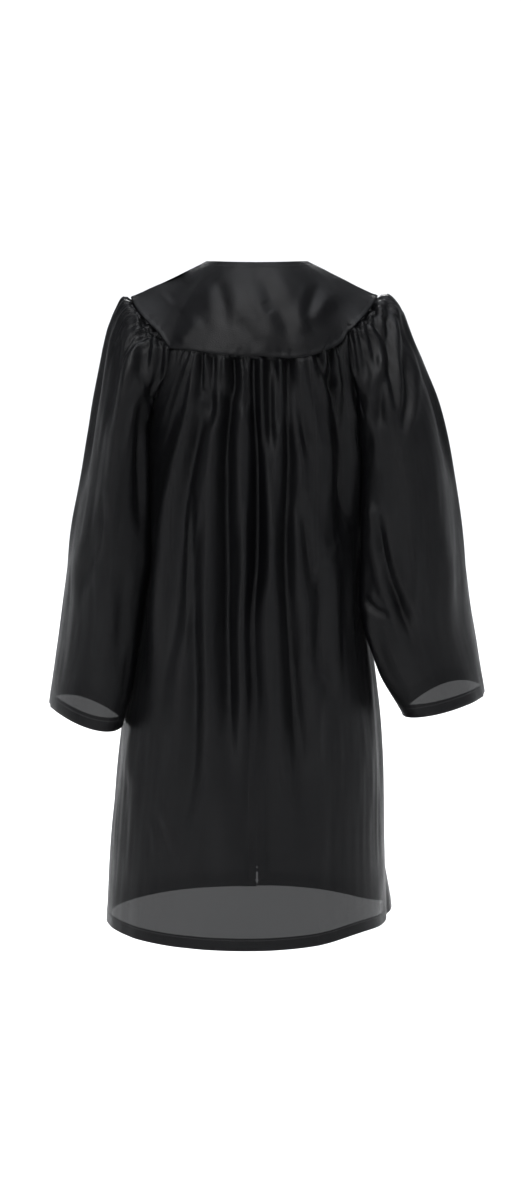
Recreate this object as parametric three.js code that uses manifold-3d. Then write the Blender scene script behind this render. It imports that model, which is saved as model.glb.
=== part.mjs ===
// A child's graduation gown as it hangs when worn: a smooth yoke over the shoulders, a gathered back and
// two gathered front panels closed by a zip, and two bell sleeves. Millimetres, +Z up, the front towards
// -Y. The origin is the middle of the neck opening, level with the high shoulder points that carry the
// gown. +X is the wearer's left.
import * as THREE from "three";
import { mergeVertices } from "three/addons/utils/BufferGeometryUtils.js";
import Module from "manifold-3d";

const wasm = await Module();
wasm.setup();

// Driving dimensions
const WALL = 1.2;
const HEM_WALL = 2.2; // the turned-up hem doubles the cloth
const HEM_TURN = 12;
const SEAM_GAP = 0.7;
const UNDERARM_DROP = 3; // the side seams start this far below the sleeve
const TORSO_POWER = 2.3; // a section a little squarer than an ellipse
const SPREAD_HEIGHT = 240; // the gathered cloth has spread round to the sides this far below the yoke
const SPREAD_SHARE = 0.3; // the share of a panel's width that the armhole draws aside
const FOLD_SEAM_FADE = 16; // folds start and end this far from a seam
const FOLD_SPREAD = { top: 0.7, end: 2.3 }; // a fold widens as it runs, by these shares of its width
const SLEEVE_FOLD_START = 1 / 6; // the share of the sleeve's rows by which its folds are at full depth
const PANEL_WIDTH = { back: 330, front: 165 };

// Body sections of the cloth, from above the yoke seam to below the hem: how far it reaches to each side,
// back and front
const TORSO = [
  { z: -50, left: 112, right: -112, back: 76, front: -68 },
  { z: -85, left: 118, right: -117, back: 86, front: -82 },
  { z: -120, left: 117, right: -115, back: 89, front: -87 },
  { z: -165, left: 112, right: -110, back: 91, front: -89 },
  { z: -240, left: 111, right: -107, back: 94, front: -91 },
  { z: -300, left: 113, right: -108, back: 97, front: -94 },
  { z: -367, left: 122, right: -114, back: 100, front: -97 },
  { z: -485, left: 139, right: -127, back: 104, front: -101 },
  { z: -600, left: 149, right: -130, back: 107, front: -105 },
  { z: -690, left: 155, right: -133, back: 110, front: -108 },
];

// The hem, from the wearer's left side seam round the back to the right one, and the front's own level
const BACK_HEM = [
  { x: 153, z: -669 },
  { x: 120, z: -673 },
  { x: 60, z: -676.5 },
  { x: 0, z: -677.5 },
  { x: -60, z: -674.5 },
  { x: -105, z: -667.5 },
  { x: -131, z: -668 },
];
const FRONT_HEM_RISE = 7; // how much higher the front hangs at its middle than at the side seams

// Seam lines of the yoke over the back, seen from behind, from corner to corner
const BACK_YOKE_SEAM = [
  { x: 86, z: -81 },
  { x: 60, z: -81.5 },
  { x: 34, z: -84.5 },
  { x: -5, z: -87 },
  { x: -22, z: -88.5 },
  { x: -39, z: -87 },
  { x: -56, z: -82.5 },
  { x: -78, z: -75 },
  { x: -90, z: -65 },
];
const FRONT_YOKE_SEAM = [
  { x: 90, z: -80 },
  { x: 62, z: -90 },
  { x: 34, z: -97 },
  { x: 3.4, z: -101 },
];

// Armhole seam below the yoke's corners: the distance from the middle at each level
const ARMHOLE = {
  left: [
    { z: -60, back: 84, front: 86 },
    { z: -81, back: 86, front: 90 },
    { z: -108, back: 92, front: 94 },
    { z: -138, back: 102, front: 102 },
    { z: -158, back: 110, front: 110 },
    { z: -165, back: 112, front: 112 },
  ],
  right: [
    { z: -45, back: 90, front: 84 },
    { z: -65, back: 90, front: 86 },
    { z: -81, back: 91, front: 90 },
    { z: -108, back: 94, front: 94 },
    { z: -138, back: 101, front: 101 },
    { z: -158, back: 108, front: 108 },
    { z: -165, back: 110, front: 110 },
  ],
};
const UNDERARM_Z = -165;
const YOKE_CORNER_Z = { left: { back: -81, front: -80 }, right: { back: -65, front: -80 } };

// The yoke's edge over each shoulder, from its back corner across the shoulder point to its front corner
const SHOULDER_SEAM = {
  left: {
    back: [
      { x: 98, y: 51, z: -66 },
      { x: 108.6, y: 40, z: -57 },
      { x: 117, y: 28, z: -48.5 },
      { x: 122.5, y: 14, z: -41 },
    ],
    point: { x: 125.5, y: 0, z: -36 },
    front: [
      { x: 122, y: -14, z: -42 },
      { x: 114, y: -30, z: -52 },
      { x: 103, y: -44, z: -65 },
    ],
  },
  right: {
    back: [
      { x: -98, y: 52, z: -58 },
      { x: -105.5, y: 42, z: -51.5 },
      { x: -111.5, y: 29, z: -45.5 },
      { x: -117, y: 14, z: -39 },
    ],
    point: { x: -120, y: 0, z: -34.5 },
    front: [
      { x: -117, y: -14, z: -41 },
      { x: -110, y: -30, z: -52 },
      { x: -101, y: -44, z: -65 },
    ],
  },
};

// Half of the neck opening: round at the back, a V at the front
const NECK_BACK = [
  { x: 0, y: 43, z: 2 },
  { x: 21, y: 39.5, z: 2 },
  { x: 39, y: 25, z: 1.5 },
  { x: 50, y: 0, z: 0 },
];
const NECK_FRONT = [
  { x: 50, y: 0, z: 0 },
  { x: 47, y: -27, z: -13 },
  { x: 34, y: -51, z: -35 },
  { x: 17.5, y: -69.5, z: -59 },
  { x: 9, y: -76, z: -70.5 },
  { x: 3.4, y: -79.2, z: -78 },
];
const YOKE_BULGE = { back: 9, front: 3, shoulder: -0.5 }; // how far it rounds out between neck and seam
const YOKE_SHOULDER = { back: 0.3, front: 0.22 }; // share of the neck's edge that faces the shoulders
const YOKE_FLAT = 8; // the power by which the front yoke's bulge dies out at the zip

// Sleeve rings down each arm. A ring is an oval round (out, y, z); rise lifts its outer side and lowers its
// inner side, inset draws its front and back towards the body, and slant turns it so that its back reaches
// in behind the body. The rings are the cap, the head, the biceps, above the elbow, the elbow, the forearm
// and the cuff.
const SLEEVE_RINGS = {
  left: [
    { out: 130, y: 1, z: -110, width: 11, depth: 62, rise: 63, inset: 26, slant: 1, dip: 0 },
    { out: 133, y: 4, z: -125, width: 17, depth: 65, rise: 53, inset: 13, slant: 3, dip: 0 },
    { out: 137.5, y: 6, z: -166, width: 22, depth: 63, rise: 31, inset: 4, slant: 4, dip: 0 },
    { out: 143.5, y: 8, z: -220, width: 27, depth: 61, rise: 20, inset: 0, slant: 6, dip: 0 },
    { out: 151.5, y: 9, z: -292, width: 34.5, depth: 59, rise: 12, inset: 0, slant: 10, dip: 0 },
    { out: 160.5, y: 9, z: -367, width: 35, depth: 60, rise: 6, inset: 0, slant: 15, dip: 3 },
    { out: 173, y: 10, z: -456, width: 36, depth: 60, rise: 7, inset: 0, slant: 14, dip: 6 },
  ],
  right: [
    { out: 127.5, y: 1, z: -108, width: 13, depth: 62, rise: 66, inset: 24, slant: 1, dip: 0 },
    { out: 133, y: 4, z: -128, width: 22, depth: 66, rise: 53, inset: 13, slant: 4, dip: 0 },
    { out: 146.5, y: 7, z: -173, width: 32.5, depth: 65, rise: 31, inset: 4, slant: 6, dip: 0 },
    { out: 154.5, y: 10, z: -226, width: 40, depth: 63, rise: 18, inset: 0, slant: 10, dip: 0 },
    { out: 160, y: 14, z: -290, width: 45, depth: 62, rise: 10, inset: 0, slant: 17, dip: 0 },
    { out: 167, y: 15, z: -364, width: 46, depth: 62, rise: 3, inset: 0, slant: 24, dip: 0 },
    { out: 189, y: 9, z: -446, width: 40, depth: 60, rise: 8, inset: 0, slant: 15, dip: 1 },
  ],
};
const PUFF = { height: 5, share: 0.4 }; // gathers lift the sleeve's head, this share of the way to the cap
const SLEEVE_GIRTH = 380;

// Largest folds of each gathered piece: troughs at a share of its width where they start and end, from the
// yoke seam or armhole down to the share of its length where they have died out
const BACK_FOLDS = [
  { start: 0.04, end: 0.04, depth: 5, width: 9, until: 0.7 },
  { start: 0.15, end: 0.14, depth: 6, width: 8, until: 0.6 },
  { start: 0.27, end: 0.24, depth: 10, width: 11, until: 0.95 },
  { start: 0.4, end: 0.4, depth: 7, width: 8, until: 0.85 },
  { start: 0.5, end: 0.5, depth: 8, width: 10, until: 0.95 },
  { start: 0.6, end: 0.62, depth: 9, width: 10, until: 0.9 },
  { start: 0.71, end: 0.76, depth: 9, width: 11, until: 0.85 },
  { start: 0.84, end: 0.88, depth: 6, width: 8, until: 0.7 },
  { start: 0.95, end: 0.96, depth: 5, width: 8, until: 0.85 },
];
const FRONT_FOLDS = [
  { start: 0.14, end: 0.12, depth: 7, width: 9, until: 0.8 },
  { start: 0.36, end: 0.33, depth: 9, width: 10, until: 0.95 },
  { start: 0.56, end: 0.55, depth: 8, width: 9, until: 0.85 },
  { start: 0.76, end: 0.76, depth: 7, width: 9, until: 0.9 },
];
const SLEEVE_FOLDS = [
  { start: 0.03, end: 0.06, depth: 3, width: 8, until: 0.6 },
  { start: 0.11, end: 0.15, depth: 5, width: 9, until: 0.8 },
  { start: 0.19, end: 0.26, depth: 5, width: 10, until: 0.95 },
  { start: 0.81, end: 0.76, depth: 5, width: 10, until: 0.95 },
  { start: 0.9, end: 0.88, depth: 4, width: 9, until: 0.7 },
];
// The right front's hem swings out by the side seam.
const FLARE = { at: 0.2, width: 0.14, reach: 12, lift: 3, from: -585 };

// Zip, down the middle of the front
const CLEAR = 0.45; // between the zip's pieces
const TAPE = { inner: 0.9, width: 8, thick: 0.7 };
const TEETH = { half: 2.2, thick: 1.5, bottom: -642, firstRow: 4 };
const SLIDER = { z: -86.5, width: 7.6, length: 9, plate: 0.9, round: 1.6, post: 1.1, postLength: 3 };
const BRIDGE = { width: 1.8, room: 2.8, leg: 1.2, height: 2.4, roof: 1 };
const TAB = { width: 7, length: 24, thick: 1.2, bar: 1.2, window: 4.2, windowWidth: 3, round: 2.5 };
const STOP = { width: 5, height: 4 };

// Grid counts
const COLUMNS = { back: 38, shoulder: 6, front: 13 };
const ARMHOLE_ROWS = 7;
const SIDE_ROWS = 8;
const YOKE_ROWS = 4;
const CROWDING = { armhole: 1.6, middle: 1.25 }; // powers that crowd rows towards the underarm and the yoke
const FADE = 3; // the power by which a seam's and a hem's own curves fade over a panel
const CORNER_SEGMENTS = 4;
const SAME_POINT = 1e-4;

const CLOTH = { color: 0x1c1d1f, roughness: 0.45, metalness: 0 };
const ZIP_CLOTH = { color: 0x141416, roughness: 0.8, metalness: 0 };
const ZIP_METAL = { color: 0x26262a, roughness: 0.35, metalness: 0.8 };

const vec = (x, y, z) => new THREE.Vector3(x, y, z);
const lerp = THREE.MathUtils.lerp;
const clamp01 = (t) => THREE.MathUtils.clamp(t, 0, 1);
const ease = (t) => clamp01(t) ** 2 * (3 - 2 * clamp01(t));
const signedPower = (v, p) => Math.sign(v) * Math.abs(v) ** p;
const sideSign = (side) => (side === "left" ? 1 : -1);
const bell = (distance, width) => Math.exp(-((distance / width) ** 2));
const middleOf = (points) => points.reduce((sum, p) => sum.add(p), vec(0, 0, 0)).divideScalar(points.length);

// A row of the table at this value of its key column, on a smooth curve through its rows.
function rowAt(table, key, at) {
  const rising = table[table.length - 1][key] > table[0][key];
  const rows = rising ? table : [...table].reverse();
  const last = rows.length - 2;
  const above = rows.findIndex((row) => row[key] > at);
  const k = above < 0 ? last : Math.max(0, above - 1);
  const [a, b] = [rows[k], rows[k + 1]];
  const span = b[key] - a[key];
  const t = clamp01((at - a[key]) / span);
  const slope = (i, name) => {
    const [p, q] = [rows[Math.max(0, i - 1)], rows[Math.min(last + 1, i + 1)]];
    return (q[name] - p[name]) / (q[key] - p[key]);
  };
  const made = {};
  for (const name of Object.keys(a)) {
    if (typeof a[name] !== "number") continue;
    const [leaving, arriving] = [slope(k, name) * span, slope(k + 1, name) * span];
    const bend = t * (1 - t) * ((1 - t) * leaving - t * arriving);
    made[name] = lerp(a[name], b[name], t * t * (3 - 2 * t)) + bend;
  }
  return made;
}

// The point of the unfolded body cloth at an angle from the middle of the back, and the angle of a given x.
function torsoPoint(angle, z) {
  const row = rowAt(TORSO, "z", z);
  const [middle, half] = [(row.left + row.right) / 2, (row.left - row.right) / 2];
  const depth = Math.cos(angle) >= 0 ? row.back : -row.front;
  const [out, back] = [Math.sin(angle), Math.cos(angle)].map((v) => signedPower(v, 2 / TORSO_POWER));
  return vec(middle + half * out, depth * back, z);
}
function torsoAngle(x, z, face) {
  const row = rowAt(TORSO, "z", z);
  const [middle, half] = [(row.left + row.right) / 2, (row.left - row.right) / 2];
  const share = THREE.MathUtils.clamp((x - middle) / half, -1, 1);
  const angle = Math.asin(signedPower(share, TORSO_POWER / 2));
  return face === "back" ? angle : Math.PI - angle;
}

// The armhole seam below the yoke's corner, at a level.
function armholeAngle(side, face, z) {
  const out = rowAt(ARMHOLE[side], "z", z)[face];
  if (z <= UNDERARM_Z + SAME_POINT) return sideSign(side) * (Math.PI / 2);
  const angle = torsoAngle(sideSign(side) * out, z, face);
  return side === "right" && face === "front" ? angle - 2 * Math.PI : angle;
}
const armholePoint = (side, face, z) => torsoPoint(armholeAngle(side, face, z), z);

// The yoke's edge over one shoulder, from a corner up to the shoulder point.
function shoulderCurve(side, face) {
  const seam = SHOULDER_SEAM[side];
  const middle = seam[face].map((p) => vec(p.x, p.y, p.z));
  if (face === "front") middle.reverse();
  const corner = armholePoint(side, face, YOKE_CORNER_Z[side][face]);
  return new THREE.CatmullRomCurve3([corner, ...middle, vec(seam.point.x, seam.point.y, seam.point.z)]);
}

function neckCurve(side, face) {
  const rows = face === "back" ? [...NECK_BACK].reverse() : NECK_FRONT;
  return new THREE.CatmullRomCurve3(rows.map((p) => vec(sideSign(side) * p.x, p.y, p.z)));
}

// Grid columns: each holds the share of its piece's width, from 0 to 1, and the points that its rows pass
// through.
const shares = (count) => Array.from({ length: count + 1 }, (_, i) => i / count);

// The depth of the folds at a share of the piece's width; down is how far they have run from the seam, with
// 1 at the piece's end. They widen as they run.
function foldDepth(folds, across, down, width) {
  return folds.reduce((sum, fold) => {
    const middle = lerp(fold.start, fold.end, down);
    const gone = 1 - ease(down / fold.until);
    const spread = fold.width * lerp(FOLD_SPREAD.top, FOLD_SPREAD.end, down);
    return sum + fold.depth * gone * bell((across - middle) * width, spread);
  }, 0);
}

// Body panels are grids. Near a side seam, a row follows the levels of the armhole; towards the middle, the
// rows spread evenly and the columns hang in smooth lines from the yoke.
const sideHem = (side) => (side === "left" ? BACK_HEM[0].z : BACK_HEM.at(-1).z);
const PANEL_ROWS = ARMHOLE_ROWS + SIDE_ROWS;
const armholeShare = (t) => 1 - (1 - t) ** CROWDING.armhole;

function sideLevel(row, top, hem) {
  if (row <= ARMHOLE_ROWS) return lerp(top, UNDERARM_Z, armholeShare(row / ARMHOLE_ROWS));
  if (row === PANEL_ROWS) return hem;
  return lerp(UNDERARM_Z, hem + HEM_TURN, (row - ARMHOLE_ROWS) / (SIDE_ROWS - 1));
}
const middleLevel = (row, top, hem) =>
  row === PANEL_ROWS ? hem : lerp(top, hem + HEM_TURN, (row / (PANEL_ROWS - 1)) ** CROWDING.middle);

function hangingAngle(side, face, z) {
  const corner = armholeAngle(side, face, YOKE_CORNER_Z[side][face]);
  const under = armholeAngle(side, face, UNDERARM_Z);
  return lerp(corner, under, ease((YOKE_CORNER_Z[side][face] - z) / SPREAD_HEIGHT));
}
const seamPull = (side, face, z, fromSide) =>
  (armholeAngle(side, face, z) - hangingAngle(side, face, z)) * (1 - ease(fromSide / SPREAD_SHARE));

// The back runs from the left side seam, share 0, to the right one, share 1.
function backPoint(across, row) {
  const top = { left: YOKE_CORNER_Z.left.back, right: YOKE_CORNER_Z.right.back };
  const sides = ["left", "right"].map((side) => sideLevel(row, top[side], sideHem(side)));
  const [topZ, hemZ] = [lerp(top.left, top.right, across), lerp(sideHem("left"), sideHem("right"), across)];
  const inner = ease(Math.min(across, 1 - across) / SPREAD_SHARE);
  const level = lerp(lerp(sides[0], sides[1], across), middleLevel(row, topZ, hemZ), inner);
  const hanging = lerp(hangingAngle("left", "back", level), hangingAngle("right", "back", level), across);
  const pull = seamPull("left", "back", sides[0], across) + seamPull("right", "back", sides[1], 1 - across);
  const angle = hanging + pull;
  const down = (topZ - level) / (topZ - hemZ);
  const seamX = lerp(BACK_YOKE_SEAM[0].x, BACK_YOKE_SEAM.at(-1).x, across);
  const dip = rowAt(BACK_YOKE_SEAM, "x", seamX).z - topZ;
  const sag = rowAt(BACK_HEM, "x", torsoPoint(angle, hemZ).x).z - hemZ;
  return torsoPoint(angle, level + dip * (1 - down) ** FADE + sag * down ** FADE);
}

// A front runs from the side seam, share 0, to the zip, share 1.
function frontPoint(side, across, row) {
  const [top, hem] = [YOKE_CORNER_Z[side].front, sideHem(side)];
  const seam = FRONT_YOKE_SEAM;
  const sideZ = sideLevel(row, top, hem);
  const level = lerp(sideZ, middleLevel(row, top, hem), ease(across / (2 * SPREAD_SHARE)));
  const down = (top - level) / (top - hem);
  const dip = rowAt(seam, "x", lerp(seam[0].x, seam.at(-1).x, across)).z - top;
  const z = level + dip * (1 - down) ** FADE + FRONT_HEM_RISE * ease(across) * down ** FADE;
  const edge = torsoAngle(sideSign(side) * seam.at(-1).x, z, "front");
  const zip = side === "left" ? edge : edge - 2 * Math.PI;
  const pull = seamPull(side, "front", sideZ, across / 2);
  return torsoPoint(lerp(hangingAngle(side, "front", level), zip, across) + pull, z);
}

// Yoke: a smooth sheet between the neck opening and the seam.
function yokePoint(neck, edge, bulge, down) {
  const out = vec(edge.x - neck.x, edge.y - neck.y, 0).normalize();
  const chord = edge.clone().sub(neck);
  const lift = out.clone().multiplyScalar(-chord.z).add(vec(0, 0, Math.hypot(chord.x, chord.y)));
  lift.normalize().multiplyScalar(4 * bulge * down * (1 - down));
  return neck.clone().lerp(edge, down).add(lift);
}

// Sleeve: ring 0 is the armhole seam, from the shoulder point round the back, the underarm and the front.
function armholeLoop(side) {
  const back = shoulderCurve(side, "back");
  const front = shoulderCurve(side, "front");
  const corner = YOKE_CORNER_Z[side];
  const rows = shares(ARMHOLE_ROWS).slice(1);
  const level = (face, t) => lerp(corner[face], UNDERARM_Z, armholeShare(t));
  return [
    ...shares(COLUMNS.shoulder).map((t) => back.getPointAt(1 - t)),
    ...rows.map((t) => armholePoint(side, "back", level("back", t))),
    ...rows.map((t) => armholePoint(side, "front", level("front", 1 - t))),
    ...shares(COLUMNS.shoulder).slice(1, -1).map((t) => front.getPointAt(t)),
  ];
}
const RING_TURN = { corner: 68, underarm: 180 }; // degrees round the arm at the yoke's corner and underarm

function ringAngles() {
  const { corner, underarm } = RING_TURN;
  const degrees = [
    ...shares(COLUMNS.shoulder).map((t) => lerp(0, corner, t)),
    ...shares(ARMHOLE_ROWS).slice(1).map((t) => lerp(corner, underarm, t)),
    ...shares(ARMHOLE_ROWS).slice(1).map((t) => lerp(underarm, 360 - corner, t)),
    ...shares(COLUMNS.shoulder).slice(1, -1).map((t) => lerp(360 - corner, 360, t)),
  ];
  return degrees.map(THREE.MathUtils.degToRad);
}

function ringPoint(side, ring, angle) {
  const [c, s] = [Math.cos(angle), Math.sin(angle)];
  const out = ring.out + ring.width * c - ring.inset * s * s - ring.slant * s;
  return vec(sideSign(side) * out, ring.y + ring.depth * s, ring.z + ring.rise * c - ring.dip * s * s);
}

// Rows of the sleeve's grid, counted in rings from the armhole: 1 is the gathers, 2 the cap and 8 the
// cuff's edge
const SLEEVE_STEPS = [1, 2, 3, 3.5, 4, 4.5, 5, 5.5, 6, 6.5, 7, 7.3, 7.6, 7.87, 8];

function sleeveRows(side) {
  const angles = ringAngles();
  const loop = armholeLoop(side);
  const columns = angles.map((angle, i) => {
    const through = SLEEVE_RINGS[side].map((ring) => ringPoint(side, ring, angle));
    const lift = PUFF.height * Math.max(0, Math.cos(angle));
    const puffed = vec(PUFF.share * lift * sideSign(side), 0, lift);
    const gathers = loop[i].clone().lerp(through[0], PUFF.share).add(puffed);
    return new THREE.CatmullRomCurve3([loop[i], gathers, ...through]);
  });
  const last = SLEEVE_RINGS[side].length + 1;
  const rows = [loop, ...SLEEVE_STEPS.map((step) => columns.map((curve) => curve.getPoint(step / last)))];
  return foldSleeve(rows, angles);
}

function foldSleeve(rows, angles) {
  return rows.map((row, r) => {
    const middle = middleOf(row);
    const down = r / (rows.length - 1);
    return row.map((p, i) => {
      const depth = foldDepth(SLEEVE_FOLDS, angles[i] / (2 * Math.PI), down, SLEEVE_GIRTH);
      const inward = middle.clone().sub(p).setZ(0).normalize();
      return p.clone().addScaledVector(inward, depth * ease(down / SLEEVE_FOLD_START));
    });
  });
}

// Grid of points with a fold pattern pressed in towards the body's axis, fading out at every seam.
function foldedPanel(columns, pointAt, folds, width, flare) {
  return Array.from({ length: PANEL_ROWS + 1 }, (_, row) =>
    shares(columns).map((across) => {
      const p = pointAt(across, row);
      const top = pointAt(across, 0);
      const fromSeam = Math.min(top.distanceTo(p), across * width, (1 - across) * width);
      const down = (top.z - p.z) / (top.z - BACK_HEM[3].z);
      const depth = foldDepth(folds, across, down, width) * ease(fromSeam / FOLD_SEAM_FADE);
      const inward = vec(-p.x, -p.y, 0).normalize();
      const swing = flare ? flareShare(across, p.z) : 0;
      const moved = p.clone().addScaledVector(inward, depth - FLARE.reach * swing);
      return moved.setZ(p.z + FLARE.lift * swing);
    }),
  );
}
function flareShare(across, z) {
  const near = bell(across - FLARE.at, FLARE.width) * ease((2 * across) / FLARE.width);
  return near * ease((FLARE.from - z) / (FLARE.from - BACK_HEM[3].z));
}

// Normals of a grid: each vertex's own, turned so that the sheet faces away from the body.
function gridNormals(grid, closed, outward) {
  const [rows, columns] = [grid.length, grid[0].length];
  const normals = grid.map((row, r) =>
    row.map((_, c) => {
      const before = closed ? (c + columns - 1) % columns : Math.max(0, c - 1);
      const after = closed ? (c + 1) % columns : Math.min(columns - 1, c + 1);
      const across = grid[r][after].clone().sub(grid[r][before]);
      const down = grid[Math.min(rows - 1, r + 1)][c].clone().sub(grid[Math.max(0, r - 1)][c]);
      return across.cross(down).normalize();
    }),
  );
  const facing = normals.flatMap((row, r) => row.map((n, c) => n.dot(outward(grid[r][c], grid[r]))));
  const turned = facing.reduce((sum, dot) => sum + dot, 0) < 0;
  return turned ? normals.map((row) => row.map((n) => n.negate())) : normals;
}

// Edge vertices of a sheet that meet another sheet take the mean normal, so that both walls end in one
// plane.
function mitreSeams(sheets) {
  const edges = sheets.flatMap((sheet, owner) =>
    edgeVertices(sheet).map(([r, c]) => ({ owner, r, c, p: sheet.grid[r][c], n: sheet.normals[r][c] })),
  );
  const means = edges.map((edge) => {
    const meets = (other) => other.owner !== edge.owner && other.p.distanceTo(edge.p) < SEAM_GAP;
    const partners = edges.filter(meets);
    return partners.reduce((sum, other) => sum.add(other.n), edge.n.clone()).normalize();
  });
  edges.forEach((edge, i) => {
    sheets[edge.owner].normals[edge.r][edge.c] = means[i];
  });
}
function edgeVertices({ grid, closed }) {
  const [rows, columns] = [grid.length, grid[0].length];
  const found = [];
  for (let r = 0; r < rows; r++)
    for (let c = 0; c < columns; c++)
      if (r === 0 || r === rows - 1 || (!closed && (c === 0 || c === columns - 1))) found.push([r, c]);
  return found;
}

// Draws the sheet's seam edges back by half the gap, along the sheet and square to the seam.
function openSeams({ grid, normals, closed, underarmColumns }) {
  const [rows, columns] = [grid.length, grid[0].length];
  const at = (r, c) => grid[r][closed ? (c + columns) % columns : THREE.MathUtils.clamp(c, 0, columns - 1)];
  const shift = (r, c, rowStep, columnStep) => {
    const inside = at(r + rowStep, c + columnStep).clone().sub(at(r, c));
    const along = rowStep
      ? at(r, c + 1).clone().sub(at(r, c - 1))
      : grid[Math.min(rows - 1, r + 1)][c].clone().sub(grid[Math.max(0, r - 1)][c]);
    const square = along.cross(normals[r][c]).normalize();
    return square.multiplyScalar((Math.sign(square.dot(inside)) * SEAM_GAP) / 2);
  };
  return grid.map((row, r) =>
    row.map((p, c) => {
      const moved = p.clone();
      if (r === 0) moved.add(shift(r, c, 1, 0));
      if (r === rows - 1) moved.add(shift(r, c, -1, 0));
      if (!closed && c === 0) moved.add(shift(r, c, 0, 1));
      if (!closed && c === columns - 1) moved.add(shift(r, c, 0, -1));
      if (r === ARMHOLE_ROWS && underarmColumns?.includes(c)) moved.z -= UNDERARM_DROP;
      return moved;
    }),
  );
}

// One closed wall: the sheet outside, the same sheet moved in by its thickness, and rims along the open
// edges.
function wallGeometry({ grid, normals, closed, thickness }) {
  const [rows, columns] = [grid.length, grid[0].length];
  const movedIn = (p, r, c) => p.clone().addScaledVector(normals[r][c], -thickness(r));
  const inner = grid.map((row, r) => row.map((p, c) => movedIn(p, r, c)));
  const points = [...grid.flat(), ...inner.flat()];
  const index = (layer, r, c) => layer * rows * columns + r * columns + (closed ? c % columns : c);
  const triangles = [];
  const quad = (a, b, c, d) => triangles.push(a, b, c, a, c, d);
  const spans = closed ? columns : columns - 1;
  for (let c = 0; c < spans; c++) {
    for (let r = 0; r < rows - 1; r++) {
      quad(index(0, r, c), index(0, r + 1, c), index(0, r + 1, c + 1), index(0, r, c + 1));
      quad(index(1, r, c), index(1, r, c + 1), index(1, r + 1, c + 1), index(1, r + 1, c));
    }
    quad(index(0, 0, c), index(0, 0, c + 1), index(1, 0, c + 1), index(1, 0, c));
    const end = rows - 1;
    quad(index(0, end, c), index(1, end, c), index(1, end, c + 1), index(0, end, c + 1));
  }
  for (let r = 0; !closed && r < rows - 1; r++) {
    const end = columns - 1;
    quad(index(0, r, 0), index(1, r, 0), index(1, r + 1, 0), index(0, r + 1, 0));
    quad(index(0, r, end), index(0, r + 1, end), index(1, r + 1, end), index(1, r, end));
  }
  return facingOut(points, triangles);
}

// A geometry whose triangles face outwards, turned round if its volume came out negative.
function facingOut(points, triangles) {
  let volume = 0;
  for (let i = 0; i < triangles.length; i += 3) {
    const [a, b, c] = [points[triangles[i]], points[triangles[i + 1]], points[triangles[i + 2]]];
    volume += a.dot(b.clone().cross(c));
  }
  if (volume < 0)
    for (let i = 0; i < triangles.length; i += 3)
      [triangles[i + 1], triangles[i + 2]] = [triangles[i + 2], triangles[i + 1]];
  const geometry = new THREE.BufferGeometry().setFromPoints(points);
  geometry.setIndex(triangles);
  return mergeVertices(geometry, SAME_POINT);
}

// Roughly which way is out of the body at a point of a panel, of the yoke and of a sleeve's ring.
const fromAxis = (p) => vec(p.x, p.y, 0);
const fromBelow = (p) => vec(p.x / 3, p.y, 90);
const fromRing = (p, row) => p.clone().sub(middleOf(row));
const plain = () => WALL;
const hemmed = (lastRow) => (row) => (row === lastRow ? HEM_WALL : WALL);

// The cloth pieces
function backPanel() {
  const grid = foldedPanel(COLUMNS.back, backPoint, BACK_FOLDS, PANEL_WIDTH.back);
  const underarmColumns = [0, COLUMNS.back];
  return { name: "back_panel", grid, outward: fromAxis, thickness: hemmed(PANEL_ROWS), underarmColumns };
}

function frontPanel(side) {
  const pointAt = (across, row) => frontPoint(side, across, row);
  const grid = foldedPanel(COLUMNS.front, pointAt, FRONT_FOLDS, PANEL_WIDTH.front, side === "right");
  const thickness = hemmed(PANEL_ROWS);
  return { name: `front_panel_${side}`, grid, outward: fromAxis, thickness, underarmColumns: [0] };
}

// The back yoke's columns run from the left shoulder point, along the shoulder edge, across the back and up
// the other shoulder, with the neck's points shared out to match.
function backYoke() {
  const shoulder = shares(COLUMNS.shoulder);
  const across = shares(COLUMNS.back).slice(1, -1);
  const edge = [
    ...shoulder.map((t) => shoulderCurve("left", "back").getPointAt(1 - t)),
    ...across.map((t) => backPoint(t, 0)),
    ...shoulder.map((t) => shoulderCurve("right", "back").getPointAt(t)),
  ];
  const necks = { left: neckCurve("left", "back"), right: neckCurve("right", "back") };
  const neckPoint = (t) => (t <= 0.5 ? necks.left.getPointAt(2 * t) : necks.right.getPointAt(2 - 2 * t));
  const half = YOKE_SHOULDER.back / 2;
  const neckShares = [
    ...shoulder.map((t) => t * half),
    ...across.map((t) => lerp(half, 1 - half, t)),
    ...shoulder.map((t) => 1 - half + t * half),
  ];
  const grid = shares(YOKE_ROWS).map((down) =>
    edge.map((p, i) => {
      const bulge = lerp(YOKE_BULGE.shoulder, YOKE_BULGE.back, Math.sin(Math.PI * neckShares[i]));
      return yokePoint(neckPoint(neckShares[i]), p, bulge, down);
    }),
  );
  return { name: "back_yoke", grid, outward: fromBelow, thickness: plain };
}

function frontYoke(side) {
  const shoulder = shares(COLUMNS.shoulder);
  const across = shares(COLUMNS.front).slice(1);
  const edge = [
    ...shoulder.map((t) => shoulderCurve(side, "front").getPointAt(1 - t)),
    ...across.map((t) => frontPoint(side, t, 0)),
  ];
  const start = YOKE_SHOULDER.front;
  const neckShares = [...shoulder.map((t) => t * start), ...across.map((t) => lerp(start, 1, t))];
  const neck = neckCurve(side, "front");
  const grid = shares(YOKE_ROWS).map((down) =>
    edge.map((p, i) => {
      const middle = Math.sin(Math.PI * neckShares[i]);
      const bulge = lerp(YOKE_BULGE.shoulder, YOKE_BULGE.front, middle) * (1 - neckShares[i] ** YOKE_FLAT);
      return yokePoint(neck.getPointAt(neckShares[i]), p, bulge, down);
    }),
  );
  return { name: `front_yoke_${side}`, grid, outward: fromBelow, thickness: plain };
}

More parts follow.
